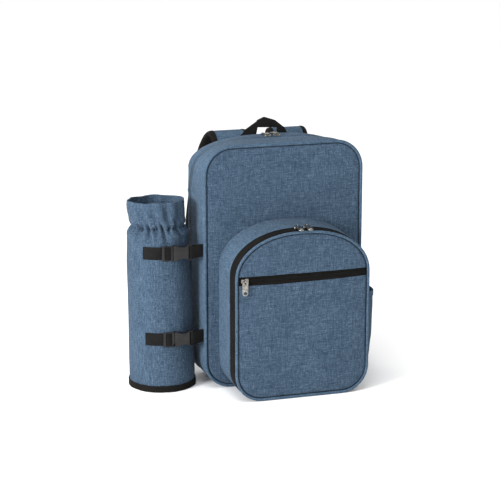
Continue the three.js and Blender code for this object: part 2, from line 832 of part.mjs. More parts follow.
function strapBindingRing() {
  const stations = strapStations();
  const section = (station, inner, outer) => {
    const top = station.thick / 2 - strapEdge;
    const edge = top - strapEdge;
    return [[inner, top], [outer, edge], [outer, -edge], [inner, -top]].map(
      ([[x, out], up]) => offset(station, x, up, out),
    );
  };
  const edge = (station, sign) => section(
    station, [sign * (station.half - strapBinding), 0], [sign * station.half, 0],
  );
  const corner = (station, sign, direction) => section(
    station,
    [sign * (station.half - strapBinding), direction * gap],
    [sign * (station.half - strapBinding / 3), direction * strapBinding],
  );
  const last = stations[stations.length - 1];
  return loft([
    ...stations.map((station) => edge(station, -1)),
    corner(last, -1, 1),
    corner(last, 1, 1),
    ...stations.map((station) => edge(station, 1)).reverse(),
    corner(stations[0], 1, -1),
    corner(stations[0], -1, -1),
  ], true);
}

// The adjuster and its webbing lie in a plane that runs from the pad's lower end
// to the back panel. Local axes: along the webbing, its front side, and across.
function strapEnd() {
  const stations = strapStations();
  const last = stations[stations.length - 1];
  const start = offset(last, 0, 0, strapBinding + gap);
  const half = strapWebWidth / 2;
  const layer = adjusterThick / 2 + gap + webThick / 2;
  const under = layer + gap + webThick; // the loaded layer lies below the loose tail
  const across = at(1, 0, 0);
  const down = at(0, bodyBack + gap + webThick / 2 - start.y, anchorHeight - start.z);
  const length = Math.sqrt(down.lengthSq() - under ** 2);
  const along = down.normalize().applyAxisAngle(across, Math.atan2(under, length));
  const front = new THREE.Vector3().crossVectors(across, along);
  const place = new THREE.Matrix4().makeBasis(along, front, across).setPosition(start);
  const put = (geometry) => geometry.applyMatrix4(place);

  const topBar = [loopLength, loopLength + adjusterBar];
  const slot = (adjusterHeight - 3 * adjusterBar) / 2;
  const slotHigh = [topBar[1], topBar[1] + slot];
  const slotLow = [slotHigh[1] + adjusterBar, slotHigh[1] + adjusterBar + slot];
  const rectangle = (u0, u1, high) => [
    [u0, -high / 2], [u1, -high / 2], [u1, high / 2], [u0, high / 2],
  ];
  const slotWidth = strapWebWidth + 4 * gap;
  const plate = rectangle(topBar[0], loopLength + adjusterHeight, adjusterWidth);
  const frame = cut(
    extrude(plate, 'z', -adjusterThick / 2, adjusterThick / 2),
    extrude(rectangle(...slotHigh, slotWidth), 'z', -adjusterThick, adjusterThick),
    extrude(rectangle(...slotLow, slotWidth), 'z', -adjusterThick, adjusterThick),
  ).applyMatrix4(new THREE.Matrix4().makeRotationX(-Math.PI / 2));

  const loopTurn = topBar[1] + gap + webThick / 2;
  const loopSpread = topBar[0] - webThick - 2 * gap; // where its two layers have parted
  const loop = extrude(ribbon([
    [gap, (webThick + gap) / 2], [loopSpread, layer], [loopTurn, layer],
    [loopTurn, -layer], [loopSpread, -layer], [gap, -(webThick + gap) / 2],
  ], webThick), 'z', -half, half);

  const up = slotHigh[1] - gap - webThick / 2;
  const back = slotLow[0] + gap + webThick / 2;
  const away = new THREE.Vector3(0, 0, -1);
  const flat = [away.dot(along) * anchorLength, away.dot(front) * anchorLength];
  const lower = extrude(ribbon([
    [length + flat[0], flat[1] - under],
    [length, -under],
    [up, -under],
    [up, layer],
    [back, layer],
    [back, -layer],
    [loopLength + adjusterHeight + tailLength, -layer],
  ], webThick), 'z', -half, half);
  return { loop: put(loop), adjuster: put(frame), webbing: put(lower) };
}

// Zip sliders
// Local axes: along the track, the way the tab points at rest, and away from the tape.
const sliderOutline = [
  [-0.5, -0.32], [-0.42, -0.5], [-0.1, -0.5], [0.12, -0.36], [0.38, -0.42], [0.5, -0.3],
  [0.5, 0.3], [0.38, 0.42], [0.12, 0.36], [-0.1, 0.5], [-0.42, 0.5], [-0.5, 0.32],
];

const bridgeFrom = -58; // degrees at which the wire bridge leaves the slider
const bridgeSteps = 8;
const wireSides = 6;

function sliderBody() {
  const shape = sliderOutline.map(([along, across]) => [along * sliderLength, across * sliderWidth]);
  const plate = extrude(shape, 'z', gap, gap + sliderThick);
  const hinge = gap + sliderThick + hingeLift;
  const turns = Array.from({ length: bridgeSteps + 1 }, (_, step) => mix(
    bridgeFrom, 180 - bridgeFrom, step / bridgeSteps,
  ) * radians);
  const rows = turns.map((turn) => Array.from({ length: wireSides }, (_, side) => {
    const round = (side / wireSides) * 2 * Math.PI;
    const radius = wireLoop + wireRadius * Math.cos(round);
    return at(wireRadius * Math.sin(round), radius * Math.cos(turn), hinge + radius * Math.sin(turn));
  }));
  return join(plate, loft(rows));
}

// The end bar lies on the hinge, inside the bridge's loop.
const shoulderShare = 0.62; // half the end bar's length, of half the tab's width
const slotSides = 10;
const holeSides = 12;

function pullTab() {
  const low = tabLength - tabBar / 2;
  const half = tabWidth / 2;
  const end = [0, 30, 60, 90, 120, 150, 180].map((turn) => [
    half * Math.cos(turn * radians), low - half + half * Math.sin(turn * radians),
  ]);
  const shoulder = half * shoulderShare;
  const start = -tabBar / 2;
  const top = [
    [-half, start + shoulder], [-shoulder, start], [shoulder, start], [half, start + shoulder],
  ];
  const opening = circle(0, tabBar / 2 + tabSlot / 2, tabSlot / 2, slotSides);
  const hole = circle(0, low - half, tabHole / 2, holeSides);
  return cut(
    extrude([...top, ...end], 'z', -tabThick / 2, tabThick / 2),
    extrude(opening, 'z', -tabThick, tabThick),
    extrude(hole, 'z', -tabThick, tabThick),
  );
}

// Each slider has its place on the tape, the way its tab points, and the tape's outward side.
const hingeHeight = gap + sliderThick + hingeLift;

function bandSlider() {
  const nearest = 1 - (bandSliderInset + sliderLength / 2) / (pocketWidth / 2);
  const tapeFace = pocketFront - pocketCrown * (1 - nearest ** 2);
  return {
    name: 'front_zip',
    place: at(pocketMiddle - pocketWidth / 2 + bandSliderInset, tapeFace, bandTop - bandSliderDrop),
    point: at(0, 0, -1),
    away: at(0, -1, 0),
    droop: 0,
  };
}

const sliders = [
  bandSlider(),
  ...[-1, 1].map((side) => ({
    name: side < 0 ? 'pocket_zip_left' : 'pocket_zip_right',
    place: at(
      pocketSliderMiddle + (side * sliderPitch) / 2,
      pocketZipMiddle,
      pocketAt(pocketZipMiddle + sliderWidth / 2).top - zipSink,
    ),
    point: at(0, -1, 0),
    away: at(0, 0, 1),
    droop: tabDroop,
  })),
  ...[-1, 1].map((side) => ({
    name: side < 0 ? 'main_zip_left' : 'main_zip_right',
    place: at(bodySliderMiddle + (side * sliderPitch) / 2, bodyZip, bodyTop - zipSink),
    point: at(0, 1, 0),
    away: at(0, 0, 1),
    droop: tabDroop,
  })),
];

const group = new THREE.Group();

function add(name, geometry, finish, parent = group) {
  geometry.computeVertexNormals();
  const mesh = new THREE.Mesh(geometry, new THREE.MeshStandardMaterial(finish));
  mesh.name = name;
  parent.add(mesh);
  return mesh;
}

add('main_front_panel', mainFrontPanel(), cloth);
add('main_front_piping', pipingRing(bodyAt, bodyFront, bodyPiping), paleCloth);
add('main_front_gusset', mainFrontGusset(), paleCloth);
add('main_zip_tape', mainZipTape(), black);
add('main_rear_gusset', mainRearGusset(), paleCloth);
add('main_back_panel', mainBackPanel(), cloth);

add('pocket_gusset', pocketGusset(), paleCloth);
add('pocket_zip_tape', pocketZip(), black);
add('pocket_piping', pipingRing(pocketAt, pocketFront, pocketPiping), paleCloth);
add('pocket_upper_panel', pocketUpperPanel(), cloth);
add('pocket_lower_panel', pocketLowerPanel(), cloth);
add('front_zip_tape', frontZipTape(), black);

add('bottle_sleeve', bottleSleeve(), cloth);
add('sleeve_base', sleeveBasePlate(), cloth);
add('sleeve_binding', sleeveBindingRing(), black);

for (const [level, height] of [['upper', upperBuckleHeight], ['lower', lowerBuckleHeight]]) {
  const { tab, plug, socket, web } = buckledStrap(height);
  add(`${level}_sleeve_tab`, tab, black);
  add(`${level}_buckle_plug`, plug, plastic);
  add(`${level}_buckle_socket`, socket, plastic);
  add(`${level}_bag_webbing`, web, black);
}

add('side_pocket', sidePocket(), cloth);
add('side_pocket_hem', sidePocketHem(), cloth);
add('carry_handle', carryHandle(), black);

function mirrored(geometry) {
  const twin = mergeVertices(geometry).scale(-1, 1, 1);
  twin.index.array.reverse();
  return twin;
}

const strapPieces = { pad: strapPad(), binding: strapBindingRing(), ...strapEnd() };
const strapFinish = { pad: cloth, binding: black, loop: black, adjuster: plastic, webbing: black };
for (const [piece, geometry] of Object.entries(strapPieces)) {
  add(`left_strap_${piece}`, geometry, strapFinish[piece]);
  add(`right_strap_${piece}`, mirrored(geometry), strapFinish[piece]);
}

for (const { name, place, point, away, droop } of sliders) {
  const track = new THREE.Vector3().crossVectors(point, away);
  const holder = new THREE.Group();
  holder.matrixAutoUpdate = false;
  holder.matrix.makeBasis(track, point, away).setPosition(place);
  group.add(holder);
  add(`${name}_slider`, sliderBody(), nickel, holder);
  const tab = add(`${name}_tab`, pullTab(), nickel, holder);
  tab.position.z = hingeHeight;
  tab.rotation.x = -droop * radians;
}

group.updateMatrixWorld(true);

export default group;
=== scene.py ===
# %% [markdown]
# # A cooler backpack, dressed
# The construction is ready: a frame of plain solids that says where every piece of the bag is.
# This lesson gives the bag its looks. Cloth is modelled as cloth, zips get their coils, webbing gets
# its ribs, and the buckles get rounded edges. Sizes are read from the frame wherever it knows them.

# %% Load the frame
import json
import math

import bpy
import numpy as np
from mathutils import Matrix, Vector

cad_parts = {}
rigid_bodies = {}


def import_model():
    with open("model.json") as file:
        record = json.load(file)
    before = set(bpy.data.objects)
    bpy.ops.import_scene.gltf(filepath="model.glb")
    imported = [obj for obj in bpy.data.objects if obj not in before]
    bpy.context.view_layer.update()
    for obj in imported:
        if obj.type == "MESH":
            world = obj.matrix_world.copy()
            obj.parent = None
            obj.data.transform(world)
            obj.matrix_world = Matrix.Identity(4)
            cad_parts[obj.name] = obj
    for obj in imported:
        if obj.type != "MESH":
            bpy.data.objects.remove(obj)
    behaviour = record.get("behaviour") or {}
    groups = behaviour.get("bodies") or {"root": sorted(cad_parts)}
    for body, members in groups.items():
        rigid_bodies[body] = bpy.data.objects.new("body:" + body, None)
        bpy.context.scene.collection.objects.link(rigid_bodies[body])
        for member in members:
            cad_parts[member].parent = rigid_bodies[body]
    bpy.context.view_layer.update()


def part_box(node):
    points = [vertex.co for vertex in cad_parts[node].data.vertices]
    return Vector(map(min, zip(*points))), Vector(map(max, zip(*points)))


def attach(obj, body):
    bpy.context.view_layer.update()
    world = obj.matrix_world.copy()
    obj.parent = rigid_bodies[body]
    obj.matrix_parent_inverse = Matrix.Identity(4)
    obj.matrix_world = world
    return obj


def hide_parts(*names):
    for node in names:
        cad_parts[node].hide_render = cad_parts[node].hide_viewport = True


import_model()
mm = 0.001

# %% [markdown]
# ## Selecting before every step
# An operator acts on all that is selected, so each step begins with nothing selected and then picks
# what it needs by place. Two small helpers do this: one for whole objects and one for the vertices,
# edges or faces of a mesh.

# %% Helpers that select
def select_nothing():
    """Leaves edit mode and deselects every object, as before each new primitive."""
    if bpy.context.object and bpy.context.object.mode != "OBJECT":
        bpy.ops.object.mode_set(mode="OBJECT")
    bpy.ops.object.select_all(action="DESELECT")


def only(*objects):
    """Leaves edit mode and selects just these objects, the last one active."""
    select_nothing()
    for obj in objects:
        obj.select_set(True)
    bpy.context.view_layer.objects.active = objects[-1]
    return objects[-1]


def edit(obj, kind="VERT", pick=lambda *place: True):
    """Enters edit mode. pick takes a vertex's place, an edge's two places or a face's centre."""
    only(obj)
    mesh = obj.data
    places = [v.co.copy() for v in mesh.vertices]
    for elements in (mesh.vertices, mesh.edges, mesh.polygons):
        elements.foreach_set("select", [False] * len(elements))
    if kind == "VERT":
        mesh.vertices.foreach_set("select", [bool(pick(place)) for place in places])
    if kind == "EDGE":
        mesh.edges.foreach_set("select", [bool(pick(*(places[i] for i in e.vertices))) for e in mesh.edges])
    if kind == "FACE":
        mesh.polygons.foreach_set("select", [bool(pick(face.center)) for face in mesh.polygons])
    bpy.context.tool_settings.mesh_select_mode = (kind == "VERT", kind == "EDGE", kind == "FACE")
    bpy.ops.object.mode_set(mode="EDIT")
    bpy.ops.mesh.select_mode(type=kind)


def settle(obj):
    """Back to object mode, with the object's place moved into its mesh."""
    only(obj)
    bpy.ops.object.transform_apply(location=True, rotation=True, scale=True)
    return obj


def joined(name, objects):
    """Several objects made one mesh, with doubled vertices merged and faces turned outwards."""
    piece = only(*objects)
    if len(objects) > 1:
        bpy.ops.object.join()
    piece.name = piece.data.name = name
    edit(piece)
    bpy.ops.mesh.remove_doubles(threshold=0.01 * mm)
    bpy.ops.mesh.normals_make_consistent(inside=False)
    return only(piece)


# %% Helpers that finish
def modifier(obj, kind, **settings):
    """Adds a modifier, sets it and applies it, as its panel would."""
    only(obj)
    bpy.ops.object.modifier_add(type=kind)
    added = obj.modifiers[-1]
    for key, value in settings.items():
        setattr(added, key, value)
    bpy.ops.object.modifier_apply(modifier=added.name)
    return obj


def nudge(obj, move):
    """Moves every vertex by a rule on an array of places, as a sculptor's brush would."""
    only(obj)
    places = np.empty(len(obj.data.vertices) * 3, np.float32)
    obj.data.vertices.foreach_get("co", places)
    places = places.reshape(-1, 3).astype(float)
    obj.data.vertices.foreach_set("co", move(places).astype(np.float32).ravel())
    obj.data.update()
    return obj


def ramp(values, start, end):
    """0 before start, 1 after end, and smooth between them."""
    share = np.clip((values - start) / (end - start), 0, 1)
    return share * share * (3 - 2 * share)


def smooth(obj, angle=40):
    only(obj)
    bpy.ops.object.shade_smooth_by_angle(angle=math.radians(angle))
    return obj


def rumple(obj, size, height):
    """Soft unevenness of that size and height, from a cloud pattern, with nothing below the floor."""
    clouds = bpy.data.textures.new(obj.name + "_clouds", "CLOUDS")
    clouds.noise_scale = size
    clouds.noise_depth = 1
    modifier(obj, "DISPLACE", texture=clouds, texture_coords="LOCAL", strength=height,
             mid_level=0.5, direction="NORMAL")
    return nudge(obj, lambda places: np.maximum(places, (-np.inf, -np.inf, 0.0)))


def raise_wall(rise, rows):
    """Extrudes the selected edges straight up by that much in all, in that many rows."""
    for _ in range(rows):
        bpy.ops.mesh.extrude_region_move(TRANSFORM_OT_translate={"value": (0, 0, rise / rows)})

# %% [markdown]
# ## The cloth
# The bag is sewn from a two-tone woven polyester. Its threads change colour along their length, so
# the face is full of short light and dark streaks that run both ways. A fine and a coarse noise
# stretched along each of the three axes give those streaks on a face that looks any way. Fine waves
# give the weave's relief.

# %% Node helpers
def material(name, roughness=0.5, metallic=0.0, specular=0.5, sheen=0.0):
    """A new material, its node tree and its shader."""
    made = bpy.data.materials.new(name + "_finish")
    made.use_nodes = True
    nodes = made.node_tree.nodes
    shader = next(n for n in nodes if n.type == "BSDF_PRINCIPLED")
    shader.inputs["Roughness"].default_value = roughness
    shader.inputs["Metallic"].default_value = metallic
    shader.inputs["Specular IOR Level"].default_value = specular
    shader.inputs["Sheen Weight"].default_value = sheen
    return made, made.node_tree, shader


def scaled_place(tree, scale):
    """Object coordinates, stretched."""
    place = tree.nodes.new("ShaderNodeTexCoord")
    mapping = tree.nodes.new("ShaderNodeMapping")
    mapping.inputs["Scale"].default_value = scale
    tree.links.new(place.outputs["Object"], mapping.inputs["Vector"])
    return mapping.outputs["Vector"]


def noise_map(tree, scale, detail=2.0, roughness=0.55):
    field = tree.nodes.new("ShaderNodeTexNoise")
    field.inputs["Scale"].default_value = 1.0
    field.inputs["Detail"].default_value = detail
    field.inputs["Roughness"].default_value = roughness
    tree.links.new(scaled_place(tree, scale), field.inputs["Vector"])
    return field.outputs["Fac"]


def maths(tree, operation, a, b):
    """One sum, product or the like. Each side is a socket or a number."""
    node = tree.nodes.new("ShaderNodeMath")
    node.operation = operation
    for socket, value in zip(node.inputs, (a, b)):
        if isinstance(value, (int, float)):
            socket.default_value = value
        else:
            tree.links.new(value, socket)
    return node.outputs[0]


def shades(tree, factor, stops):
    """A colour ramp: each stop has its place from 0 to 1 and its colour."""
    node = tree.nodes.new("ShaderNodeValToRGB")
    ends = node.color_ramp.elements
    while len(ends) < len(stops):
        ends.new(0.5)
    for element, (at, colour) in zip(ends, stops):
        element.position = at
        element.color = (*colour, 1.0)
    tree.links.new(factor, node.inputs["Fac"])
    return node.outputs["Color"]


def relief(tree, shader, height, strength, distance):
    node = tree.nodes.new("ShaderNodeBump")
    node.inputs["Strength"].default_value = strength
    node.inputs["Distance"].default_value = distance
    tree.links.new(height, node.inputs["Height"])
    tree.links.new(node.outputs["Normal"], shader.inputs["Normal"])


def waves(tree, axis, pitch, distortion=0.0):
    """Even ridges along one axis of the object, from 0 to 1."""
    node = tree.nodes.new("ShaderNodeTexWave")
    node.bands_direction = axis
    node.inputs["Scale"].default_value = math.pi / 10 / pitch
    node.inputs["Distortion"].default_value = distortion
    node.inputs["Detail"].default_value = 1.0
    place = tree.nodes.new("ShaderNodeTexCoord")
    tree.links.new(place.outputs["Object"], node.inputs["Vector"])
    return node.outputs["Fac"]


# %% Woven cloth
def woven_cloth(name, dark, middle, light):
    made, tree, shader = material(name, roughness=0.95, specular=0.06, sheen=0.03)
    shader.inputs["Sheen Roughness"].default_value = 0.6
    streaks = None
    for axis in range(3):
        for thin, long, share in ((0.75 * mm, 7 * mm, 0.6), (1.6 * mm, 18 * mm, 0.4)):
            scale = [1 / thin] * 3
            scale[axis] = 1 / long
            streak = maths(tree, "MULTIPLY", noise_map(tree, scale, detail=1.0), share / 3)
            streaks = streak if streaks is None else maths(tree, "ADD", streaks, streak)
    blotches = noise_map(tree, [1 / (45 * mm)] * 3, detail=2.0)
    value = maths(tree, "ADD", streaks, maths(tree, "MULTIPLY", blotches, 0.05))
    colour = shades(tree, value, [(0.43, dark), (0.52, middle), (0.62, light)])
    tree.links.new(colour, shader.inputs["Base Color"])
    weave = maths(tree, "ADD", waves(tree, "X", 0.8 * mm, 1.0), waves(tree, "Z", 0.8 * mm, 1.0))
    weave = maths(tree, "ADD", weave, waves(tree, "Y", 0.8 * mm, 1.0))
    weave = maths(tree, "ADD", maths(tree, "MULTIPLY", weave, 0.4), maths(tree, "MULTIPLY", streaks, 2.0))
    relief(tree, shader, weave, 0.5, 0.4 * mm)
    return made


dark_cloth = woven_cloth("dark_cloth", (0.018, 0.033, 0.056), (0.034, 0.058, 0.091), (0.078, 0.119, 0.170))
blue_cloth = woven_cloth("blue_cloth", (0.023, 0.043, 0.072), (0.041, 0.072, 0.112), (0.086, 0.135, 0.190))

# %% [markdown]
# ## Black trims, plastic and metal
# Zip tape and binding are a matt black weave, webbing has ribs across it, the buckles are moulded
# plastic with a fine spark-eroded grain, and the zip pulls are nickel-plated with a little wear.

# %% Trims
def black_weave(name, pitch, base, light, rough):
    made, tree, shader = material(name, roughness=rough, specular=0.08)
    fibres = noise_map(tree, [1 / (0.8 * mm)] * 3, detail=2.0)
    patches = noise_map(tree, [1 / (25 * mm)] * 3)
    tone = maths(tree, "ADD", maths(tree, "MULTIPLY", fibres, 0.7), maths(tree, "MULTIPLY", patches, 0.3))
    tree.links.new(shades(tree, tone, [(0.32, base), (0.68, light)]), shader.inputs["Base Color"])
    ribs = maths(tree, "ADD", waves(tree, "X", pitch), waves(tree, "Z", pitch))
    relief(tree, shader, maths(tree, "ADD", ribs, fibres), 0.5, 0.3 * mm)
    return made


def black_plastic_finish():
    made, tree, shader = material("black_plastic", specular=0.36)
    grain = noise_map(tree, [1 / (0.35 * mm)] * 3, detail=2.0)
    wear = noise_map(tree, [1 / (9 * mm)] * 3)
    colour = shades(tree, wear, [(0.3, (0.004, 0.004, 0.004)), (0.75, (0.010, 0.010, 0.011))])
    tree.links.new(colour, shader.inputs["Base Color"])
    gloss = maths(tree, "ADD", maths(tree, "MULTIPLY", grain, 0.2), 0.22)
    tree.links.new(gloss, shader.inputs["Roughness"])
    relief(tree, shader, grain, 0.15, 0.1 * mm)
    return made


def nickel_finish():
    made, tree, shader = material("nickel", metallic=1.0)
    tarnish = noise_map(tree, [1 / (3 * mm)] * 3, detail=3.0)
    colour = shades(tree, tarnish, [(0.3, (0.13, 0.125, 0.115)), (0.7, (0.40, 0.38, 0.35))])
    tree.links.new(colour, shader.inputs["Base Color"])
    gloss = maths(tree, "ADD", maths(tree, "MULTIPLY", tarnish, 0.25), 0.2)
    tree.links.new(gloss, shader.inputs["Roughness"])
    relief(tree, shader, noise_map(tree, [1 / (0.5 * mm)] * 3), 0.08, 0.1 * mm)
    return made


black_tape = black_weave("black_tape", 0.7 * mm, (0.003, 0.003, 0.003), (0.011, 0.010, 0.009), 0.9)
black_webbing = black_weave("black_webbing", 1.5 * mm, (0.003, 0.003, 0.003), (0.012, 0.012, 0.012), 0.8)
black_plastic = black_plastic_finish()
nickel = nickel_finish()
finishes = (dark_cloth, blue_cloth, black_tape, black_webbing, black_plastic, nickel)
print("materials:", [finish.name for finish in finishes])

# %% A finished piece
def dress(obj, finish, nodes, body="bag"):
    """Gives a piece its finish, sets it on its body and hides the solids that it stands for."""
    settle(obj)
    obj.data.materials.clear()
    obj.data.materials.append(finish)
    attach(obj, body)
    if nodes:
        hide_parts(*nodes)
    return obj

# %% [markdown]
# ## Rounded outlines
# The main body and the pocket are panels with rounded corners and cloth wrapped round their edges.
# A plane with its corners bevelled has that outline. A corner that is wider than it is high is
# bevelled on a plane that is stretched first and squeezed back afterwards.

# %% The outlines of the body and the pocket
piping_low, piping_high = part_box("main_front_piping")
body_piping = (piping_high.y - piping_low.y) / 2
body_front = (piping_low.y + piping_high.y) / 2
body_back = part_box("main_rear_gusset")[1].y
body_round = 20 * mm
body_shape = {
    "middle": 0.0,
    "width": piping_high.x - piping_low.x,
    "bottom": 0.0,
    "top": piping_high.z,
    "low": 46 * mm,
    "across": 48 * mm,
    "up": 48 * mm,
    "power": 2.0,
    "cuts": {"bottom": 18, "side": 40, "top": 18},
}
body_rear_shape = {**body_shape, "across": 130 * mm, "up": 50 * mm, "power": 2.3}

pocket_low, pocket_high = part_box("pocket_piping")
pocket_piping = (pocket_high.y - pocket_low.y) / 2
pocket_front = (pocket_low.y + pocket_high.y) / 2
pocket_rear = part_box("pocket_gusset")[1].y
arch_flat = 6 * mm
pocket_flare = 5 * mm
pocket_shape = {
    "middle": (pocket_low.x + pocket_high.x) / 2,
    "width": pocket_high.x - pocket_low.x,
    "bottom": 0.0,
    "top": pocket_high.z,
    "low": 46 * mm,
    "across": (pocket_high.x - pocket_low.x) / 2 - arch_flat,
    "up": 74 * mm,
    "power": 2.1,
    "cuts": {"bottom": 14, "side": 20, "top": 1},
}
pocket_rear_shape = {
    **pocket_shape,
    "width": pocket_shape["width"] + pocket_flare,
    "bottom": 2 * body_piping + 0.6 * mm,
    "top": pocket_shape["top"] + pocket_flare / 2,
    "across": pocket_shape["across"] + pocket_flare / 2,
}


def between(front, rear, share):
    mixed = dict(front)
    for size in ("width", "bottom", "top", "across", "up", "power"):
        mixed[size] = front[size] + (rear[size] - front[size]) * share
    return mixed


def body_at(depth):
    straight = body_back - body_round - body_front
    return between(body_shape, body_rear_shape, min((depth - body_front) / straight, 1))


def pocket_at(depth):
    return between(pocket_shape, pocket_rear_shape, (depth - pocket_front) / (body_front - pocket_front))


# %% A sheet with an outline
low_steps, high_steps = 8, 14


def outline_ring(shape, inset, depth):
    """A closed wire with the shape's outline, that much smaller, standing across the bag."""
    select_nothing()
    bpy.ops.mesh.primitive_plane_add(size=1, rotation=(math.pi / 2, 0, 0))
    sheet = bpy.context.object
    half = shape["width"] / 2 - inset
    bottom, top = shape["bottom"] + inset, shape["top"] - inset
    across, up, low = shape["across"] - inset, shape["up"] - inset, shape["low"] - inset
    sheet.scale = (2 * half, top - bottom, 1)
    sheet.location = (shape["middle"], depth, (bottom + top) / 2)
    settle(sheet)
    stretch = {"value": (1, 1, across / up), "center_override": (0, 0, 0)}
    squeeze = {"value": (1, 1, up / across), "center_override": (0, 0, 0)}
    edit(sheet)
    bpy.ops.transform.resize(**stretch)
    edit(sheet, "VERT", lambda p: p.z > (bottom + top) / 2 * across / up)
    superellipse = 4 ** (-1 / shape["power"])
    bpy.ops.mesh.bevel(offset=across, segments=high_steps, profile=superellipse, affect="VERTICES")
    bpy.ops.mesh.select_all(action="SELECT")
    bpy.ops.transform.resize(**squeeze)
    edit(sheet, "VERT", lambda p: p.z < bottom + 0.01 * mm)
    bpy.ops.mesh.bevel(offset=low, segments=low_steps, profile=0.5, affect="VERTICES")
    straight = {
        "bottom": lambda a, b: max(a.z, b.z) < bottom + 0.01 * mm,
        "side": lambda a, b: min(abs(a.x - shape["middle"]), abs(b.x - shape["middle"])) > half - 0.01 * mm,
        "top": lambda a, b: min(a.z, b.z) > top - 0.01 * mm,
    }
    edit(sheet)
    bpy.ops.mesh.delete(type="ONLY_FACE")
    for part_of_edge, cuts in shape["cuts"].items():
        edit(sheet, "EDGE", straight[part_of_edge])
        bpy.ops.mesh.subdivide(number_cuts=cuts)
    return only(sheet)


def outline_sheet(shape, inset, depth):
    """One flat face with the shape's outline that faces the front."""
    sheet = outline_ring(shape, inset, depth)
    edit(sheet)
    bpy.ops.mesh.edge_face_add()
    only(sheet)
    if sheet.data.polygons[0].normal.y > 0:
        edit(sheet)
        bpy.ops.mesh.flip_normals()
    return only(sheet)


# %% Cloth wrapped round hoops
def skin(name, rings):
    """Cloth round the bag through rings. A ring has its shape, inset, depth and the cuts before it."""
    strips = []
    for (shape, inset, depth, _), (next_shape, next_inset, next_depth, cuts) in zip(rings, rings[1:]):
        pair = [outline_ring(shape, inset, depth), outline_ring(next_shape, next_inset, next_depth)]
        strip = only(*pair)
        bpy.ops.object.join()
        edit(strip)
        bpy.ops.mesh.bridge_edge_loops(number_cuts=cuts)
        strips.append(strip)
    return joined(name, strips)


def round_cord(name, shape, depth, radius, inset=0.0):
    """A round cord that runs round an outline, that far inside it."""
    sheet = outline_ring(shape, inset + radius, depth)
    bpy.ops.object.convert(target="CURVE")
    sheet.data.bevel_depth = radius
    sheet.data.bevel_resolution = 3
    bpy.ops.object.convert(target="MESH")
    return joined(name, [bpy.context.object])


def gridded(low, high, cell):
    """Cuts the mesh in edit mode into cells with straight cuts, as with a knife and a ruler."""
    for axis, normal in ((0, (1, 0, 0)), (2, (0, 0, 1))):
        count = max(round((high[axis] - low[axis]) / cell), 2)
        for step in range(1, count):
            bpy.ops.mesh.select_all(action="SELECT")
            place = [0.0, 0.0, 0.0]
            place[axis] = low[axis] + (high[axis] - low[axis]) * step / count
            bpy.ops.mesh.bisect(plane_co=place, plane_no=normal)

# %% [markdown]
# ## Panels with crowned faces
# A sewn panel is pulled back at its seam and stands out in its middle. The sheet gets a few narrow
# insets for the seam's roll, then a grid of straight cuts, and then each point moves out by how far it
# is from the rim. Solidify gives the wall of foam behind it.

# %% How far a place is from a rim
def rim_of(sheet):
    """The outline of a flat sheet, as places in order."""
    face = sheet.data.polygons[0]
    return np.array([sheet.data.vertices[i].co[:] for i in face.vertices])


def from_rim(places, rim):
    """How far each place is from the rim, seen from the front."""
    starts = rim[:, ::2]
    run = np.roll(starts, -1, 0) - starts
    ahead = places[:, None, ::2] - starts[None]
    share = np.clip((ahead * run).sum(2) / (run * run).sum(1), 0, 1)
    return np.sqrt(((ahead - share[..., None] * run[None]) ** 2).sum(2)).min(1)


# %% A sewn panel
seam_roll = ((0.7 * mm, 1.6 * mm), (1.2 * mm, 1.2 * mm), (2.0 * mm, 0.5 * mm))


def sewn_panel(name, sheet, crown, reach, wall, facing=-1, cell=8 * mm):
    """A panel of cloth on foam: rolled in at the seam, gridded, and crowned in its middle."""
    rim = rim_of(sheet)
    edit(sheet)
    if facing > 0:
        bpy.ops.mesh.flip_normals()
    for width, out in seam_roll:
        bpy.ops.mesh.inset(thickness=width)
        bpy.ops.transform.translate(value=(0, facing * out, 0))
    gridded(rim.min(0), rim.max(0), cell)
    only(sheet)

    def stand_out(places):
        share = np.clip(from_rim(places, rim) / reach, 0, 1)
        places[:, 1] += facing * crown * (1 - (1 - share) ** 2)
        return places

    nudge(sheet, stand_out)
    modifier(sheet, "SOLIDIFY", thickness=wall, offset=-1)
    return joined(name, [sheet])


# %% [markdown]
# ## The main body
# The front panel lies inside a ring of piping. Behind the piping a gusset runs round the bag to the
# zip, and a second one from the zip to the back, where its edge rolls in to the padded back panel.

# %% Front panel and piping
foam_wall = 2.5 * mm
panel_inset, panel_back = 4.4 * mm, 3.0 * mm
front_panel = sewn_panel(
    "front_panel", outline_sheet(body_shape, panel_inset, body_front + panel_back),
    crown=2 * mm, reach=60 * mm, wall=foam_wall)
rumple(front_panel, 60 * mm, 1.4 * mm)
dress(smooth(front_panel), dark_cloth, ["main_front_panel"])
front_piping = round_cord("front_piping", body_shape, body_front, body_piping)
dress(smooth(front_piping, 180), blue_cloth, ["main_front_piping"])

# %% Dark thread, and painted shadow in the seam between a panel and its piping
# This dark thread material also paints shade: it colours the painted shadow cord in the seams and darkens the
# sleeve's inner wall.
thread_and_painted_shade, thread_and_shade_tree, thread_and_shade_shader = material("dark_cloth", roughness=0.9, specular=0.05)
thread_and_shade_tone = noise_map(thread_and_shade_tree, [1 / (2 * mm)] * 3)
thread_and_shade_tree.links.new(
    shades(thread_and_shade_tree, thread_and_shade_tone, [(0.3, (0.004, 0.007, 0.013)), (0.7, (0.014, 0.022, 0.036))]),
    thread_and_shade_shader.inputs["Base Color"])


def in_thread_and_painted_shade(obj):
    """Dark thread that shows on the cloth, also used for the painted shadow in seams. It stands for none of
    the solids.
    """
    settle(obj)
    obj.data.materials.clear()
    obj.data.materials.append(thread_and_painted_shade)
    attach(obj, "bag")
    return obj


# A dark cord laid in the groove inside a piping: painted shadow of the seam.
def painted_seam_shadow(name, shape, depth, inset):
    return smooth(in_thread_and_painted_shade(round_cord(name, shape, depth, 0.6 * mm, inset)), 180)


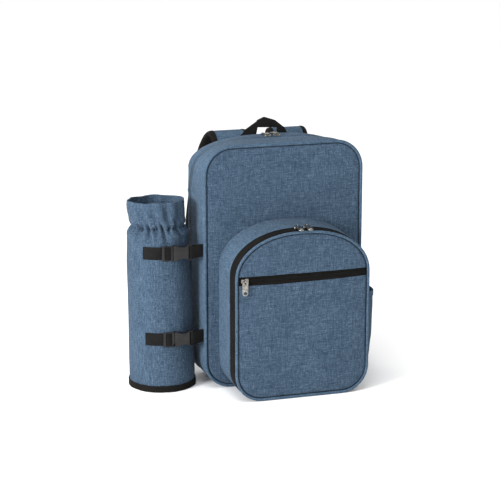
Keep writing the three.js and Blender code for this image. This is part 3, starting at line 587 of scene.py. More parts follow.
# Painted shadow: a dark cord in the seam beside the front piping.
painted_seam_shadow("front_panel_painted_shadow", body_shape, body_front - 0.3 * mm, 2 * body_piping - 0.1 * mm)

# %% Gussets on both sides of the zip
zip_low, zip_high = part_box("main_zip_tape")
body_zip = (zip_low.y + zip_high.y) / 2
zip_end, zip_taper = zip_low.z, 20 * mm
zip_gap = 3.6 * mm


def ring(depth, inset, cuts=0, at=body_at):
    """A ring for skin, with the shape that the bag has at its depth."""
    return (at(depth), inset, depth, cuts)


def close_below_zip(obj, edge, start):
    """Slides the cloth's edge over to the zip's middle where there is no zip."""
    target = body_zip + math.copysign(0.1 * mm, edge - body_zip)

    def slide(places):
        share = np.clip((places[:, 1] - start) / (edge - start), 0, None)
        closed = 1 - ramp(places[:, 2], zip_end, zip_end + zip_taper)
        places[:, 1] += share * closed * (target - edge)
        return places

    return nudge(obj, slide)


zip_bend, bend_start, bend_end = 26 * mm, 384 * mm, 318 * mm
front_hold, rear_hold = 9 * mm, 8 * mm


def lean_back(obj):
    """The zip runs along the middle on top, and bends towards the back down the sides."""
    def lean(places):
        depth = places[:, 1]
        ahead = np.clip((depth - body_front - front_hold) / (body_zip - body_front - front_hold), 0, 1)
        behind = np.clip((body_back - rear_hold - depth) / (body_back - rear_hold - body_zip), 0, 1)
        bent = 1 - ramp(places[:, 2], bend_end, bend_start)
        places[:, 1] += zip_bend * bent * np.minimum(ahead, behind)
        return places
    return nudge(obj, lean)


front_edge, rear_edge = body_zip - zip_gap, body_zip + zip_gap
front_gusset = skin("front_gusset", [
    ring(body_front + 1.6 * mm, 3.6 * mm), ring(body_front + 3.0 * mm, 2.2 * mm),
    ring(body_front + 4.6 * mm, 0.9 * mm), ring(body_front + 7 * mm, 0.1 * mm), ring(body_front + 9 * mm, 0),
    ring(front_edge - 6 * mm, 0, 6), ring(front_edge - 1.2 * mm, 0, 1), ring(front_edge, 0.6 * mm)])
close_below_zip(front_gusset, front_edge, front_edge - 25 * mm)
rolled = [ring(body_back - body_round * (1 - math.sin(t)), body_round * (1 - math.cos(t)))
          for t in (math.radians(15 * step) for step in range(1, 7))]
rear_gusset = skin("rear_gusset", [
    ring(rear_edge, 0.6 * mm), ring(rear_edge + 1.2 * mm, 0), ring(rear_edge + 6 * mm, 0, 1),
    ring(body_back - body_round, 0, 3), *rolled, ring(body_back - 0.6 * mm, body_round + 2 * mm)])
close_below_zip(rear_gusset, rear_edge, rear_edge + 20 * mm)
for gusset, node in ((front_gusset, "main_front_gusset"), (rear_gusset, "main_rear_gusset")):
    lean_back(gusset)
    modifier(gusset, "SOLIDIFY", thickness=foam_wall, offset=-1)
    rumple(gusset, 45 * mm, 1.6 * mm)
    dress(smooth(gusset), blue_cloth, [node])
print("body:", len(front_gusset.data.vertices), "points in the front gusset")

# %% [markdown]
# ## Zips
# A coil zip is two rows of small nylon loops, sewn on a woven tape, that mesh in the middle. One loop
# is modelled as a stretched little sphere. Copies of it are set out along the zip, left and right in
# turn.

# %% Copies along a line
def walk(points, pitch, closed=False):
    """Places every pitch along a line of points, with the way ahead at each."""
    points = np.asarray(points, float)
    if closed:
        points = np.vstack([points, points[:1]])
    far = np.concatenate([[0], np.cumsum(np.linalg.norm(np.diff(points, axis=0), axis=1))])
    stops = np.arange(pitch / 2, far[-1], pitch)
    def at(distance):
        return np.stack([np.interp(distance, far, points[:, k]) for k in range(3)], 1)
    ahead = at(np.clip(stops + pitch / 2, 0, far[-1])) - at(np.clip(stops - pitch / 2, 0, far[-1]))
    return at(stops), ahead / np.linalg.norm(ahead, axis=1)[:, None]


def copies(name, seed, frames):
    """One mesh of many copies of the seed, one at each frame, and the seed is removed."""
    count = len(seed.data.vertices)
    shape = np.array([v.co[:] for v in seed.data.vertices])
    faces = [list(f.vertices) for f in seed.data.polygons]
    places = np.concatenate([shape @ np.array(m.to_3x3()).T + np.array(m.translation) for m in frames])
    mesh = bpy.data.meshes.new(name)
    mesh.from_pydata(places, [], [[i + count * k for i in f] for k in range(len(frames)) for f in faces])
    obj = bpy.data.objects.new(name, mesh)
    bpy.context.collection.objects.link(obj)
    bpy.data.objects.remove(seed)
    return smooth(obj, 180)


def bead(size):
    """A little stretched sphere, that size along x, y and z."""
    select_nothing()
    bpy.ops.mesh.primitive_uv_sphere_add(segments=6, ring_count=4, radius=0.5)
    seed = bpy.context.object
    seed.scale = size
    return settle(seed)


def facing_frame(place, ahead, out):
    """A frame at a place: x goes ahead, z goes out of the cloth, y lies across."""
    ahead = Vector(ahead).normalized()
    out = (Vector(out) - ahead * ahead.dot(Vector(out))).normalized()
    across = out.cross(ahead)
    turned = Matrix((ahead, across, out)).transposed().to_4x4()
    turned.translation = Vector(place)
    return turned


# %% A zip's coil
coil_pitch = 1.5 * mm
loop_size, loop_offset = (1.25 * mm, 3.4 * mm, 1.7 * mm), 1.15 * mm


def coil(name, points, outs, closed=False):
    """Two rows of nylon loops along a line. outs gives the way out of the cloth at a place."""
    frames = []
    places, ways = walk(points, coil_pitch / 2, closed)
    for step, (place, ahead) in enumerate(zip(places, ways)):
        frame_here = facing_frame(place, ahead, outs(place, ahead))
        side = 1 if step % 2 else -1
        frames.append(frame_here @ Matrix.Translation((0, side * loop_offset, 0)))
    return copies(name, bead(loop_size), frames)


def outline_points(shape, inset, depth):
    sheet = outline_sheet(shape, inset, depth)
    points = rim_of(sheet)
    bpy.data.objects.remove(sheet)
    return points


def outward(place, ahead):
    """The way out of a gusset: square to the zip, in the plane across the bag."""
    way = Vector(ahead).cross(Vector((0, 1, 0)))
    middle = Vector((0, place[1], 0.45 * body_shape["top"]))
    return way if way.dot(Vector(place) - middle) > 0 else -way


def above_zip_end(points, height):
    """The part of a closed outline that is above a height, from one end to the other."""
    points = np.roll(points, -int(np.argmin(points[:, 2])), 0)
    return points[points[:, 2] > height]


# %% The main zip
main_tape = skin("main_tape", [ring(front_edge - 1 * mm, 1.3 * mm), ring(rear_edge + 1 * mm, 1.3 * mm, 3)])
edit(main_tape)
bpy.ops.mesh.bisect(plane_co=(0, 0, zip_end), plane_no=(0, 0, 1), clear_inner=True)
lean_back(main_tape)
modifier(main_tape, "SOLIDIFY", thickness=0.8 * mm, offset=-1)
dress(smooth(main_tape), black_tape, ["main_zip_tape"])
zip_run = above_zip_end(outline_points(body_at(body_zip), 1.0 * mm, body_zip), zip_end + 4 * mm)
main_coil = lean_back(coil("main_coil", zip_run, outward))
dress(main_coil, black_plastic, ["main_zip_tape"])
print("zip:", len(zip_run), "points round the main zip")

# %% [markdown]
# ## The front pocket
# The pocket is a box with an arched front. It has its own piping, a broad zip tape just behind it all
# the way round, and a gusset that flares a little to where it is sewn on the body. Its front is cut
# across by a straight zip, so the same crowned panel is made three times and each is cut to its part.

# %% Pocket gusset, tape and piping
tape_low, tape_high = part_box("pocket_zip_tape")
tape_front, tape_rear = tape_low.y, tape_high.y


def pocket_ring(depth, inset, cuts=0):
    return ring(depth, inset, cuts, pocket_at)


pocket_gusset = skin("pocket_cloth", [
    pocket_ring(tape_rear - 0.3 * mm, 1.2 * mm), pocket_ring(tape_rear + 0.6 * mm, 0),
    pocket_ring(tape_rear + 6 * mm, 0, 1), pocket_ring(pocket_rear - 8 * mm, 0, 8),
    pocket_ring(pocket_rear - 2 * mm, 0, 1), pocket_ring(pocket_rear + 0.5 * mm, 0.8 * mm)])
modifier(pocket_gusset, "SOLIDIFY", thickness=foam_wall, offset=-1)
rumple(pocket_gusset, 38 * mm, 1.0 * mm)
dress(smooth(pocket_gusset), blue_cloth, ["pocket_gusset"])
pocket_tape = skin("pocket_tape", [
    pocket_ring(pocket_front + 1.0 * mm, 3.0 * mm), pocket_ring(tape_front, 1.2 * mm),
    pocket_ring(tape_front + 2 * mm, 0.8 * mm), pocket_ring(tape_rear + 1 * mm, 1.2 * mm, 7)])
modifier(pocket_tape, "SOLIDIFY", thickness=0.9 * mm, offset=-1)
dress(smooth(pocket_tape), black_tape, ["pocket_zip_tape"])
pocket_zip = (tape_front + tape_rear) / 2
pocket_run = outline_points(pocket_at(pocket_zip), 0.8 * mm, pocket_zip)
dress(coil("pocket_coil", pocket_run, outward, closed=True), black_plastic, ["pocket_zip_tape"])
piping = round_cord("pocket_edge_piping", pocket_shape, pocket_front, pocket_piping)
dress(smooth(piping, 180), blue_cloth, ["pocket_piping"])

# Painted shadow: a dark cord in the seam beside the pocket's piping.
painted_seam_shadow("pocket_panel_painted_shadow", pocket_shape, pocket_front - 0.3 * mm, 2 * pocket_piping - 0.1 * mm)

# %% The straight zip's edges
band_top, band_height, band_rise = 210.5 * mm, 15 * mm, 3 * mm
band_edge = ((-1.0, 0.92, 0.0), (-0.4, 1.0, 0.0), (0.3, 0.96, 0.0), (1.0, 1.0, 1.0))


def band_bottom(x):
    across = (x - pocket_shape["middle"]) / (pocket_shape["width"] / 2)
    down = np.interp(across, [row[0] for row in band_edge], [row[1] for row in band_edge])
    rise = np.interp(across, [row[0] for row in band_edge], [row[2] for row in band_edge])
    return band_top - band_height * down + band_rise * rise


# %% The pocket's front, in three
pocket_crown, pocket_reach = 3 * mm, 70 * mm
face_inset, face_back = 4.2 * mm, 3.1 * mm


def pocket_front_piece(name, keep_from, keep_to, sink=0.0):
    """The pocket's front between two heights, set back by sink."""
    sheet = outline_sheet(pocket_shape, face_inset, pocket_front + face_back + sink)
    panel = sewn_panel(
        name, sheet, crown=pocket_crown, reach=pocket_reach, wall=foam_wall - sink, cell=6 * mm)
    for height, inner in ((keep_from, True), (keep_to, False)):
        if height is None:
            continue
        edit(panel)
        bpy.ops.mesh.bisect(plane_co=(0, 0, height), plane_no=(0, 0, 1), use_fill=True,
                            clear_inner=inner, clear_outer=not inner)
    return only(panel)


def hug(panel, line, moved_to, reach):
    """Bends the panel's straight edge, which lies at the line's height, into a curve."""
    def bend(places):
        near = 1 - np.clip(np.abs(places[:, 2] - line) / reach, 0, 1)
        places[:, 2] += near * near * (moved_to(places[:, 0]) - line)
        return places
    return nudge(panel, bend)


lower_share, lip_gap = 0.96, 0.2 * mm
lower_line = band_top - band_height * lower_share
lower_panel = pocket_front_piece("pocket_front_lower", None, lower_line)
hug(lower_panel, lower_line, lambda x: band_bottom(x) - lip_gap, 40 * mm)
upper_panel = pocket_front_piece("pocket_front_upper", band_top + lip_gap, None)
for panel, node in ((lower_panel, "pocket_lower_panel"), (upper_panel, "pocket_upper_panel")):
    rumple(panel, 42 * mm, 1.6 * mm)
    dress(smooth(panel), dark_cloth, [node])
band = pocket_front_piece("front_zip_band", lower_line - 3 * mm, band_top + 1 * mm, 1.2 * mm)
dress(smooth(band), black_tape, ["front_zip_tape"])

# %% The straight zip's coil
slider_low, slider_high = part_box("front_zip_slider")
coil_height = (slider_low.z + slider_high.z) / 2
half_band = pocket_shape["width"] / 2 - 7 * mm
band_run = np.array([
    (pocket_shape["middle"] + half_band * share, 0, coil_height) for share in np.linspace(-1, 1, 41)])
face_rim = outline_points(pocket_shape, face_inset, 0)
edge_gap = np.clip(from_rim(band_run, face_rim) / pocket_reach, 0, 1)
seam_out = sum(out for _, out in seam_roll)
face = pocket_front + face_back - seam_out - pocket_crown * (1 - (1 - edge_gap) ** 2)
band_run[:, 1] = face - 0.3 * mm
dress(coil("front_coil", band_run, lambda place, ahead: (0, -1, 0)), black_webbing, ["front_zip_tape"])
print("pocket:", len(lower_panel.data.vertices), "points in the lower panel")

# %% [markdown]
# ## The bottle sleeve
# The sleeve is an insulated tube with a drawn-in neck and a loose collar above it. A ring of points is
# extruded upwards row by row and resized to each row, as a potter raises a wall. The gathers are
# creases that start at the neck and fade above and below it, each with its own depth and lean.

# %% The sleeve's wall
binding_low, binding_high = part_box("sleeve_binding")
sleeve_low, sleeve_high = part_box("bottle_sleeve")
sleeve_middle = (binding_low.x + binding_high.x) / 2
sleeve_depth = (binding_low.y + binding_high.y) / 2
sleeve_radius = 54.6 * mm
sleeve_lean = 7.5 * mm
# Shares of the height, the radius and the lean
sleeve_rows = np.array([
    (0, 0.985, 0), (0.036, 1, 0), (0.45, 0.995, 0.28), (0.7, 0.965, 0.6), (0.79, 0.945, 0.66),
    (0.825, 0.915, 0.66), (0.853, 0.83, 0.64), (0.875, 0.825, 0.68), (0.92, 0.875, 0.86),
    (0.965, 0.895, 0.98), (1, 0.87, 1)])
sleeve_height = sleeve_high.z - sleeve_low.z
neck_share = 0.856
neck = sleeve_low.z + neck_share * sleeve_height


def eased(share, column):
    """The rows' value at a share of the height, with the corners between rows rounded off."""
    window = np.linspace(-0.012, 0.012, 7)
    return float(np.mean(np.interp(np.clip(share + window, 0, 1), sleeve_rows[:, 0], sleeve_rows[:, column])))


select_nothing()
bpy.ops.mesh.primitive_circle_add(
    vertices=192, radius=sleeve_radius * eased(0, 1), fill_type="NOTHING",
    location=(sleeve_middle, sleeve_depth, sleeve_low.z))
sleeve = settle(bpy.context.object)
edit(sleeve)
levels = np.concatenate([np.linspace(0, 0.72, 26), np.linspace(0.73, 1, 56)])
for before, after in zip(levels, levels[1:]):
    scale = eased(after, 1) / eased(before, 1)
    rise = (after - before) * sleeve_height
    lean = -(eased(after, 2) - eased(before, 2)) * sleeve_lean
    bpy.ops.mesh.extrude_region_move(TRANSFORM_OT_translate={"value": (lean, 0, rise)})
    middle = sleeve_middle - eased(after, 2) * sleeve_lean
    pivot = (middle, sleeve_depth, sleeve_low.z + after * sleeve_height)
    bpy.ops.transform.resize(value=(scale, scale, 1), center_override=pivot)
joined("bottle_tube", [sleeve])

# %% Gathers at the neck
rng = np.random.default_rng(11)
crease_count = 30
crease_places = np.arange(crease_count) + rng.uniform(-0.33, 0.33, crease_count)
crease_angles = crease_places * 2 * math.pi / crease_count
crease_depths = rng.uniform(6.0, 13.0, crease_count) * mm
crease_leans = rng.uniform(-0.006, 0.006, crease_count) / mm
crease_reach = rng.choice([5, 6, 8, 11, 18], crease_count) * mm
collar_angles = np.array([-2.75, -2.0, -1.35, -0.75, -0.28, 0.22, 0.75, 1.4, 2.1, 2.8])
collar_depths = np.array([4.2, 4.8, 4.0, 6.0, 5.4, 6.6, 4.4, 4.6, 4.2, 4.6]) * mm
collar_width, tube_fold = 0.16, 0.5 * mm
cord_pinch, cord_width, cord_puff = 2.6 * mm, 2.2 * mm, 1.4 * mm
hem_height, hem_pinch, hem_width = 34 * mm, 0.7 * mm, 1.0 * mm
rim_dip, rim_wave = 5 * mm, 1.2 * mm


def wrapped(angle):
    return (angle + math.pi) % (2 * math.pi) - math.pi


def gather(places):
    share = (places[:, 2] - sleeve_low.z) / sleeve_height
    middle = sleeve_middle - np.interp(share, sleeve_rows[:, 0], sleeve_rows[:, 2]) * sleeve_lean
    out = np.stack([places[:, 0] - middle, places[:, 1] - sleeve_depth], 1)
    radius = np.linalg.norm(out, axis=1)
    angle = np.arctan2(out[:, 0], -out[:, 1])
    height = places[:, 2] - neck
    pull = np.zeros(len(places))
    for a, depth, slant, reach in zip(crease_angles, crease_depths, crease_leans, crease_reach):
        width = 0.045 + 0.0035 * np.abs(height) / mm
        off = wrapped(angle - a - slant * height)
        fade = np.where(height > 0, np.exp(-(height / (reach * 0.75)) ** 2), np.exp(-(height / reach) ** 2))
        pull += depth * fade * np.exp(-(off / width) ** 2)
    for a, depth in zip(collar_angles, collar_depths):
        above = ramp(height, 0, 20 * mm) * (1 - 0.5 * ramp(height, 26 * mm, 44 * mm))
        off = wrapped(angle - a + 0.0025 * height / mm)
        pull += depth * above * np.exp(-(off / collar_width) ** 2)
    # Soft standing folds in the tube, and the band of the draw cord at the neck
    pull += tube_fold * ramp(height, -230 * mm, -120 * mm) * (1 + np.sin(7 * angle + 1.3)) * (height < 0)
    puff = np.exp(-((height + 11 * mm) / (7 * mm)) ** 2) + np.exp(-((height - 9 * mm) / (5 * mm)) ** 2)
    pull += cord_pinch * np.exp(-(height / cord_width) ** 2) - cord_puff * puff
    pull += hem_pinch * np.exp(-((height - hem_height) / hem_width) ** 2)
    scale = (radius - pull) / radius
    places[:, 0] = middle + out[:, 0] * scale
    places[:, 1] = sleeve_depth + out[:, 1] * scale
    rim = np.clip((share - 0.9) / 0.1, 0, 1)
    places[:, 2] -= rim * (rim_dip * (0.5 - 0.5 * np.cos(angle)) + rim_wave * np.sin(3 * angle + 0.6) ** 2)
    return places


nudge(sleeve, gather)
# The inner wall gets the second material, the dark thread one, as painted shade inside the sleeve.
modifier(sleeve, "SOLIDIFY", thickness=2.6 * mm, offset=-1, material_offset=1, material_offset_rim=0)
rumple(sleeve, 48 * mm, 1.6 * mm)
dress(smooth(sleeve, 80), dark_cloth, ["bottle_sleeve"])
# Painted shade: the dark thread material darkens the sleeve's inner wall.
sleeve.data.materials.append(thread_and_painted_shade)
print("sleeve:", len(sleeve.data.vertices), "points")

# %% The sleeve's base binding
binding_start = 0.2 * mm
select_nothing()
bpy.ops.mesh.primitive_circle_add(
    vertices=128, radius=sleeve_radius, fill_type="NOTHING",
    location=(sleeve_middle, sleeve_depth, binding_start))
base_binding = settle(bpy.context.object)
edit(base_binding)
raise_wall(binding_high.z - binding_start, 6)
joined("sleeve_base_binding", [base_binding])
modifier(base_binding, "SOLIDIFY", thickness=1.7 * mm, offset=1)
modifier(base_binding, "BEVEL", width=0.7 * mm, segments=3, limit_method="ANGLE")
rumple(base_binding, 14 * mm, 1.4 * mm)
dress(smooth(base_binding, 60), black_tape, ["sleeve_binding"])

# %% The sleeve's sole
select_nothing()
bpy.ops.mesh.primitive_circle_add(
    vertices=96, radius=sleeve_radius - 0.5 * mm, fill_type="NGON", location=(sleeve_middle, sleeve_depth, 0))
sole = settle(bpy.context.object)
edit(sole)
for inset_width, lift in ((4 * mm, 0.0), (1.5 * mm, 0.6 * mm), (14 * mm, 0.0)):
    bpy.ops.mesh.inset(thickness=inset_width)
    bpy.ops.transform.translate(value=(0, 0, lift))
joined("sleeve_sole", [sole])
modifier(sole, "SOLIDIFY", thickness=2 * mm, offset=-1)
dress(smooth(sole), black_tape, ["sleeve_base"])

# %% [markdown]
# ## Stitches
# Rows of topstitching hold the folded edges of the cloth beside the zips.
# One stitch is a stretched bead, sunk halfway into the cloth, and copies of it run along each edge.

# %% Rows of stitches
stitch_pitch = 3.6 * mm
stitch_size = (2.6 * mm, 0.55 * mm, 0.5 * mm)


def stitches(name, points, outs, closed=False):
    places, ways = walk(points, stitch_pitch, closed)
    frames = [facing_frame(place, ahead, outs(place, ahead)) for place, ahead in zip(places, ways)]
    return copies(name, bead(stitch_size), frames)


seams = []
for name, depth in (("front_seam", front_edge - 3.2 * mm), ("rear_seam", rear_edge + 3.2 * mm)):
    line = above_zip_end(outline_points(body_at(depth), -0.1 * mm, depth), zip_end + 22 * mm)
    seams.append(lean_back(stitches(name, line, outward)))
line = outline_points(pocket_at(tape_rear + 3 * mm), -0.1 * mm, tape_rear + 3 * mm)
seams.append(stitches("pocket_seam", line, outward, closed=True))
for seam in seams:
    in_thread_and_painted_shade(seam)
print("stitches:", sum(len(seam.data.polygons) for seam in seams), "faces")

# %% [markdown]
# ## The side pocket
# On the other side a flat pocket bulges from the gusset, with a hem at its mouth. A circle is squared
# up, extruded upwards, and its inner half is drawn in to the body's rounded side.

# %% Side pocket
side_low, side_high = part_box("side_pocket")
hem_low, hem_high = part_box("side_pocket_hem")
body_side = body_shape["width"] / 2
side_depth = (side_low.y + side_high.y) / 2
side_length = side_high.y - side_low.y
side_bulge = side_high.x - body_side
side_rows = np.array([(0, 0.62), (0.12, 0.72), (0.45, 0.86), (0.85, 0.92), (1, 0.92)])
side_power = 2.6


def cup(name, low, high, rows, wall, grow):
    """A cup against the body's side, from one height to another, that much wider than the pocket."""
    select_nothing()
    bpy.ops.mesh.primitive_circle_add(vertices=128, radius=1, fill_type="NOTHING", location=(0, 0, low))
    wall_piece = settle(bpy.context.object)
    edit(wall_piece, "VERT", lambda p: p.x < -0.2)
    bpy.ops.mesh.delete(type="VERT")
    edit(wall_piece)
    raise_wall(high - low, rows)
    joined(name, [wall_piece])

    def fit(places):
        up = np.clip(places[:, 2] / hem_low.z, 0, 1)
        bulge = np.interp(up, side_rows[:, 0], side_rows[:, 1]) * side_bulge + grow
        length = side_length / 2 + grow
        x, y = places[:, 0].copy(), places[:, 1].copy()
        power = 2 / side_power
        square = np.abs(np.clip(x, 0, 1)) ** power
        corner = np.sqrt(np.clip(1 - (1 - np.clip(places[:, 2] / body_shape["low"], 0, 1)) ** 2, 0, 1))
        edge = body_side - body_shape["low"] * (1 - corner) - 1.5 * mm
        legs = np.clip(-x / 0.2, 0, 1)
        places[:, 0] = np.where(x > 0, body_side + bulge * square, body_side + (edge - body_side) * legs)
        places[:, 1] = side_depth + length * np.sign(y) * np.where(x > 0, np.abs(y) ** power, 1)
        return places

    nudge(wall_piece, fit)
    edit(wall_piece)
    bpy.ops.mesh.normals_make_consistent(inside=False)
    only(wall_piece)
    modifier(wall_piece, "SOLIDIFY", thickness=wall, offset=-1)
    return wall_piece


side_pocket = cup("side_pocket_cloth", 0.2 * mm, hem_low.z + 1 * mm, 24, 2 * mm, -0.6 * mm)
rumple(side_pocket, 40 * mm, 2.0 * mm)
dress(smooth(side_pocket), dark_cloth, ["side_pocket"])
side_hem = cup("side_pocket_binding", hem_low.z, hem_high.z, 6, 3 * mm, 0.4 * mm)
modifier(side_hem, "BEVEL", width=1 * mm, segments=3, limit_method="ANGLE")
dress(smooth(side_hem, 60), dark_cloth, ["side_pocket_hem"])

# %% [markdown]
# ## Hardware, webbing and straps
# Buckles, adjusters, sliders and webbing already have the right shape in the frame, only with sharp
# edges. A copy of each is cleaned up, its edges are rounded, and it gets its finish.

# %% A copy of a solid with rounded edges
def copy_of(node, name):
    """A clean copy of a solid of the frame, with its doubled points merged."""
    original = bpy.data.objects[node]
    made = bpy.data.objects.new(name, original.data.copy())
    bpy.context.collection.objects.link(made)
    made.data.name = name
    edit(made)
    bpy.ops.mesh.remove_doubles(threshold=0.01 * mm)
    bpy.ops.mesh.dissolve_limited(angle_limit=math.radians(1))
    return only(made)


def rounded(node, name, width, finish, body="bag", angle=28):
    made = copy_of(node, name)
    modifier(made, "BEVEL", width=width, segments=3, limit_method="ANGLE",
             angle_limit=math.radians(angle), use_clamp_overlap=True)
    return dress(smooth(made, 45), finish, [node], body)


for level in ("upper", "lower"):
    rounded(f"{level}_buckle_plug", f"{level}_plug", 0.5 * mm, black_plastic)
    rounded(f"{level}_buckle_socket", f"{level}_socket", 1.3 * mm, black_plastic)
    rounded(f"{level}_sleeve_tab", f"{level}_tab_webbing", 0.4 * mm, black_webbing, angle=50)
    rounded(f"{level}_bag_webbing", f"{level}_webbing", 0.4 * mm, black_webbing, angle=50)
for side in ("left", "right"):
    rounded(f"{side}_strap_adjuster", f"{side}_adjuster", 0.8 * mm, black_plastic)
    rounded(f"{side}_strap_loop", f"{side}_loop", 0.4 * mm, black_webbing, angle=50)
    rounded(f"{side}_strap_webbing", f"{side}_lower_webbing", 0.4 * mm, black_webbing, angle=50)
rounded("carry_handle", "handle", 0.8 * mm, black_webbing)
for zip_name in ("front_zip", "pocket_zip_left", "pocket_zip_right", "main_zip_left", "main_zip_right"):
    rounded(f"{zip_name}_slider", f"{zip_name}_runner", 0.35 * mm, nickel)
    rounded(f"{zip_name}_tab", f"{zip_name}_puller", 0.35 * mm, nickel, f"{zip_name}_pull")

# %% [markdown]
# ## Shoulder straps
# A strap is a flat pad that leaves the back panel, turns over the shoulder and comes down again. A
# ring of points is extruded into a tube, and the tube is then laid along the strap's stations and
# flattened. Its outer face is the bag's cloth, its inner face black mesh, and a binding closes the edge.

# %% The straps' stations
# Shares of the stand-off, the height, half the spread, the width and the thickness
strap_rows = np.array([
    (0, 0.82, 0.96, 0.92, 0.5), (0, 0.875, 0.96, 0.96, 0.62), (0.12, 0.935, 0.97, 0.99, 0.9),
    (0.3, 0.978, 0.99, 1, 1), (0.52, 0.9877, 1, 1, 1), (0.74, 0.966, 1.05, 1, 1),
    (0.89, 0.915, 1.17, 1, 1), (0.97, 0.845, 1.29, 1, 1), (1, 0.75, 1.44, 0.99, 1),
    (0.98, 0.65, 1.58, 0.96, 1), (0.91, 0.56, 1.74, 0.86, 1), (0.8, 0.49, 1.85, 0.72, 0.95),
    (0.73, 0.455, 1.89, 0.62, 0.9)])
strap_levels = 84
strap_reach, strap_top, strap_spread = 74 * mm, 408 * mm, 104 * mm
strap_half, strap_thick, strap_start = 34.5 * mm, 10 * mm, body_back + 0.3 * mm
stops = np.linspace(0, len(strap_rows) - 1, strap_levels + 1)
smoothed = []
for column in strap_rows.T:
    line = np.interp(stops, range(len(strap_rows)), column)
    for _ in range(6):
        line[1:-1] = (line[:-2] + line[1:-1] * 2 + line[2:]) / 4
    smoothed.append(line)
off, up, out, wide, thick = smoothed
middle_y = strap_start + off * strap_reach + thick * strap_thick / 2
middle_z = up * strap_top
way = np.stack([np.gradient(middle_y), np.gradient(middle_z)], 1)
way /= np.linalg.norm(way, axis=1)[:, None]
end_binding = 8.2 * mm
stretch = ramp(stops, len(strap_rows) - 3, len(strap_rows) - 1) * end_binding
middle_y, middle_z = middle_y + stretch * way[-1, 0], middle_z + stretch * way[-1, 1]


# %% A strap's tube
def strap_tube(name, sign, grow, keep=None):
    """A tube laid along the strap, that much larger all round. keep picks faces by place before that."""
    select_nothing()
    bpy.ops.mesh.primitive_circle_add(vertices=64, radius=1, fill_type="NOTHING")
    tube = bpy.context.object
    edit(tube)
    raise_wall(strap_levels, strap_levels)
    for end in (0, strap_levels):
        edit(tube, "VERT", lambda p: abs(p.z - end) < 0.1)
        bpy.ops.mesh.edge_face_add()
    if keep:
        edit(tube, "FACE", lambda p: not keep(p))
        bpy.ops.mesh.delete(type="FACE")
    only(tube)

    def lay(places):
        level = places[:, 2]
        index = range(strap_levels + 1)
        def value(line):
            return np.interp(level, index, line)
        ends = np.clip(np.minimum(level, strap_levels - level) / 2.5, 0, 1)
        shoulder = np.sqrt(1 - (1 - ends) ** 2) * 0.35 + 0.65
        half = value(wide) * strap_half - 1 * mm + grow
        flat = value(thick) * strap_thick / 2 * shoulder + grow
        across = half * np.sign(places[:, 0]) * np.abs(places[:, 0]) ** 0.3
        above = (flat - 0.6 * mm) * np.sign(places[:, 1]) * np.abs(places[:, 1]) ** 0.62
        run_y, run_z = value(way[:, 0]), value(way[:, 1])
        ahead = grow * np.where(level < 0.5, -1, np.where(level > strap_levels - 0.5, 1, 0))
        return np.stack([
            sign * value(out) * strap_spread / 2 + across,
            value(middle_y) + run_z * above + run_y * ahead,
            value(middle_z) - run_y * above + run_z * ahead], 1)

    nudge(tube, lay)
    return joined(name, [tube])


# %% Pads, linings and bindings
for side, sign in (("left", -1), ("right", 1)):
    pad = strap_tube(f"{side}_pad", sign, 0)
    dress(smooth(pad, 60), blue_cloth, [f"{side}_strap_pad"])
    lining = strap_tube(
        f"{side}_lining", sign, 0.35 * mm,
        lambda p: p.y > 0.05 and 1 < p.z < strap_levels - 1)
    modifier(lining, "SOLIDIFY", thickness=0.5 * mm, offset=-1)
    dress(smooth(lining, 60), black_tape, [f"{side}_strap_pad"])
    binding = strap_tube(
        f"{side}_edge", sign, 0.8 * mm,
        lambda p: abs(p.x) > 0.42 or p.z < 2 or p.z > strap_levels - 2)
    modifier(binding, "SOLIDIFY", thickness=0.7 * mm, offset=-1)
    dress(smooth(binding, 60), black_tape, [f"{side}_strap_binding"])

# %% [markdown]
# ## The padded back
# The back is a thick pad under black spacer mesh, sewn through along channels that let air pass. The
# panel is crowned like the others, its channels are pressed in, and its finish has a mesh's small holes,
# with painted shade in them.

# %% Spacer mesh
def spacer_mesh():
    made, tree, shader = material("black_tape", roughness=0.9, specular=0.1)
    holes = tree.nodes.new("ShaderNodeTexVoronoi")
    holes.inputs["Scale"].default_value = 1 / (2.6 * mm)
    holes.inputs["Randomness"].default_value = 0.15
    place = tree.nodes.new("ShaderNodeTexCoord")
    tree.links.new(place.outputs["Object"], holes.inputs["Vector"])
    # Distance from the middle of each hole of the mesh: the holes are painted darker, as painted shade inside
    # them, and get relief.
    thickness = holes.outputs["Distance"]
    colour = shades(tree, thickness, [(0.15, (0.002, 0.002, 0.002)), (0.5, (0.018, 0.018, 0.018))])
    tree.links.new(colour, shader.inputs["Base Color"])
    relief(tree, shader, thickness, 0.8, 0.8 * mm)
    return made


# %% Back panel
back_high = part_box("main_back_panel")[1]
back_sheet = outline_sheet(body_rear_shape, body_round, back_high.y - 3.2 * mm)
back_panel = sewn_panel(
    "padded_back", back_sheet, crown=0.4 * mm, reach=40 * mm, wall=3 * mm, facing=1, cell=3.5 * mm)
channel_place, channel_low, channel_high, channel_width = 30 * mm, 60 * mm, 330 * mm, 2.4 * mm
rungs = [z * mm for z in range(80, 331, 50)]
rung_width, rung_slope, rung_end = 2.2 * mm, 0.25, 96 * mm
press_depth = 2.0 * mm


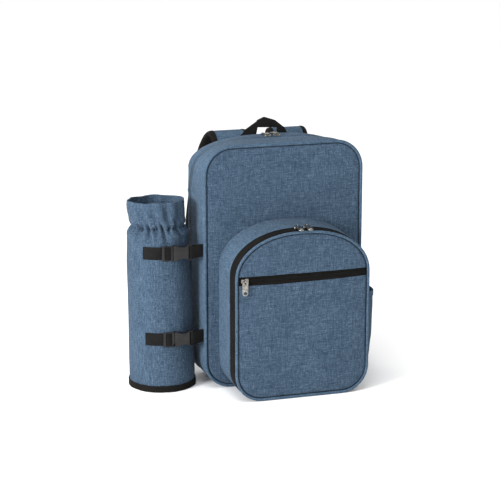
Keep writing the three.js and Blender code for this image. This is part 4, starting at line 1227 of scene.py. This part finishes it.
def press(places):
    """Presses two upright channels and rows of slanting ones into the outer face."""
    x, z = places[:, 0], places[:, 2]
    outer = places[:, 1] > back_high.y - 2.4 * mm
    pull = np.zeros(len(places))
    inside = ramp(z, channel_low, channel_low + 8 * mm) * (1 - ramp(z, channel_high - 8 * mm, channel_high))
    for middle in (-channel_place, channel_place):
        pull = np.maximum(pull, np.exp(-((x - middle) / channel_width) ** 2) * inside)
    for height in rungs:
        slope = height - rung_slope * (np.abs(x) - channel_place)
        starts = ramp(np.abs(x), channel_place, channel_place + 4 * mm)
        side = starts * (1 - ramp(np.abs(x), rung_end - 8 * mm, rung_end))
        pull = np.maximum(pull, np.exp(-((z - slope) / rung_width) ** 2) * side)
    places[:, 1] -= press_depth * pull * outer
    return places


nudge(back_panel, press)
dress(smooth(back_panel, 60), spacer_mesh(), ["main_back_panel"])

# %% [markdown]
# ## Floor, light and camera
# The bag stands on a white floor in a white room. A soft light from the left gives the gentle shadow
# to the right, as in a packshot, and a weaker one above it lights the top.

# %% Floor
select_nothing()
bpy.ops.mesh.primitive_plane_add(size=40, location=(0, 0, -0.3 * mm))
floor = bpy.context.object
floor.name = "floor"
floor_finish, _, floor_shader = material("floor_white", roughness=0.9, specular=0.1)
floor_shader.inputs["Base Color"].default_value = (0.97, 0.97, 0.97, 1)
floor.data.materials.append(floor_finish)

# %% Light
scene = bpy.context.scene
scene.view_settings.view_transform = "Standard"
world = bpy.data.worlds.new("studio")
world.use_nodes = True
background = next(n for n in world.node_tree.nodes if n.type == "BACKGROUND")
background.inputs["Color"].default_value = (1, 1, 1, 1)
background.inputs["Strength"].default_value = 1.0
scene.world = world


def lamp(name, place, target, size, power):
    bpy.ops.object.light_add(type="AREA", location=place)
    light = bpy.context.object
    light.name = name
    light.data.size = size
    light.data.energy = power
    light.rotation_euler = (Vector(target) - Vector(place)).to_track_quat("-Z", "Y").to_euler()


lamp("key_light", (-2.9, -1.5, 1.0), (-0.1, 0, 0.2), 1.0, 150)
lamp("top_light", (-0.7, -1.2, 2.8), (0, 0, 0.3), 1.4, 30)

# %% Camera
camera_place = Vector((-0.9098, -2.7533, 0.9382))
camera_target = Vector((-0.0582, -0.0525, 0.2321))
bpy.ops.object.camera_add(location=camera_place)
camera = bpy.context.object
camera.rotation_euler = (camera_target - camera_place).to_track_quat("-Z", "Y").to_euler()
camera.data.lens = 128.1
camera.data.sensor_width = 36
scene.camera = camera
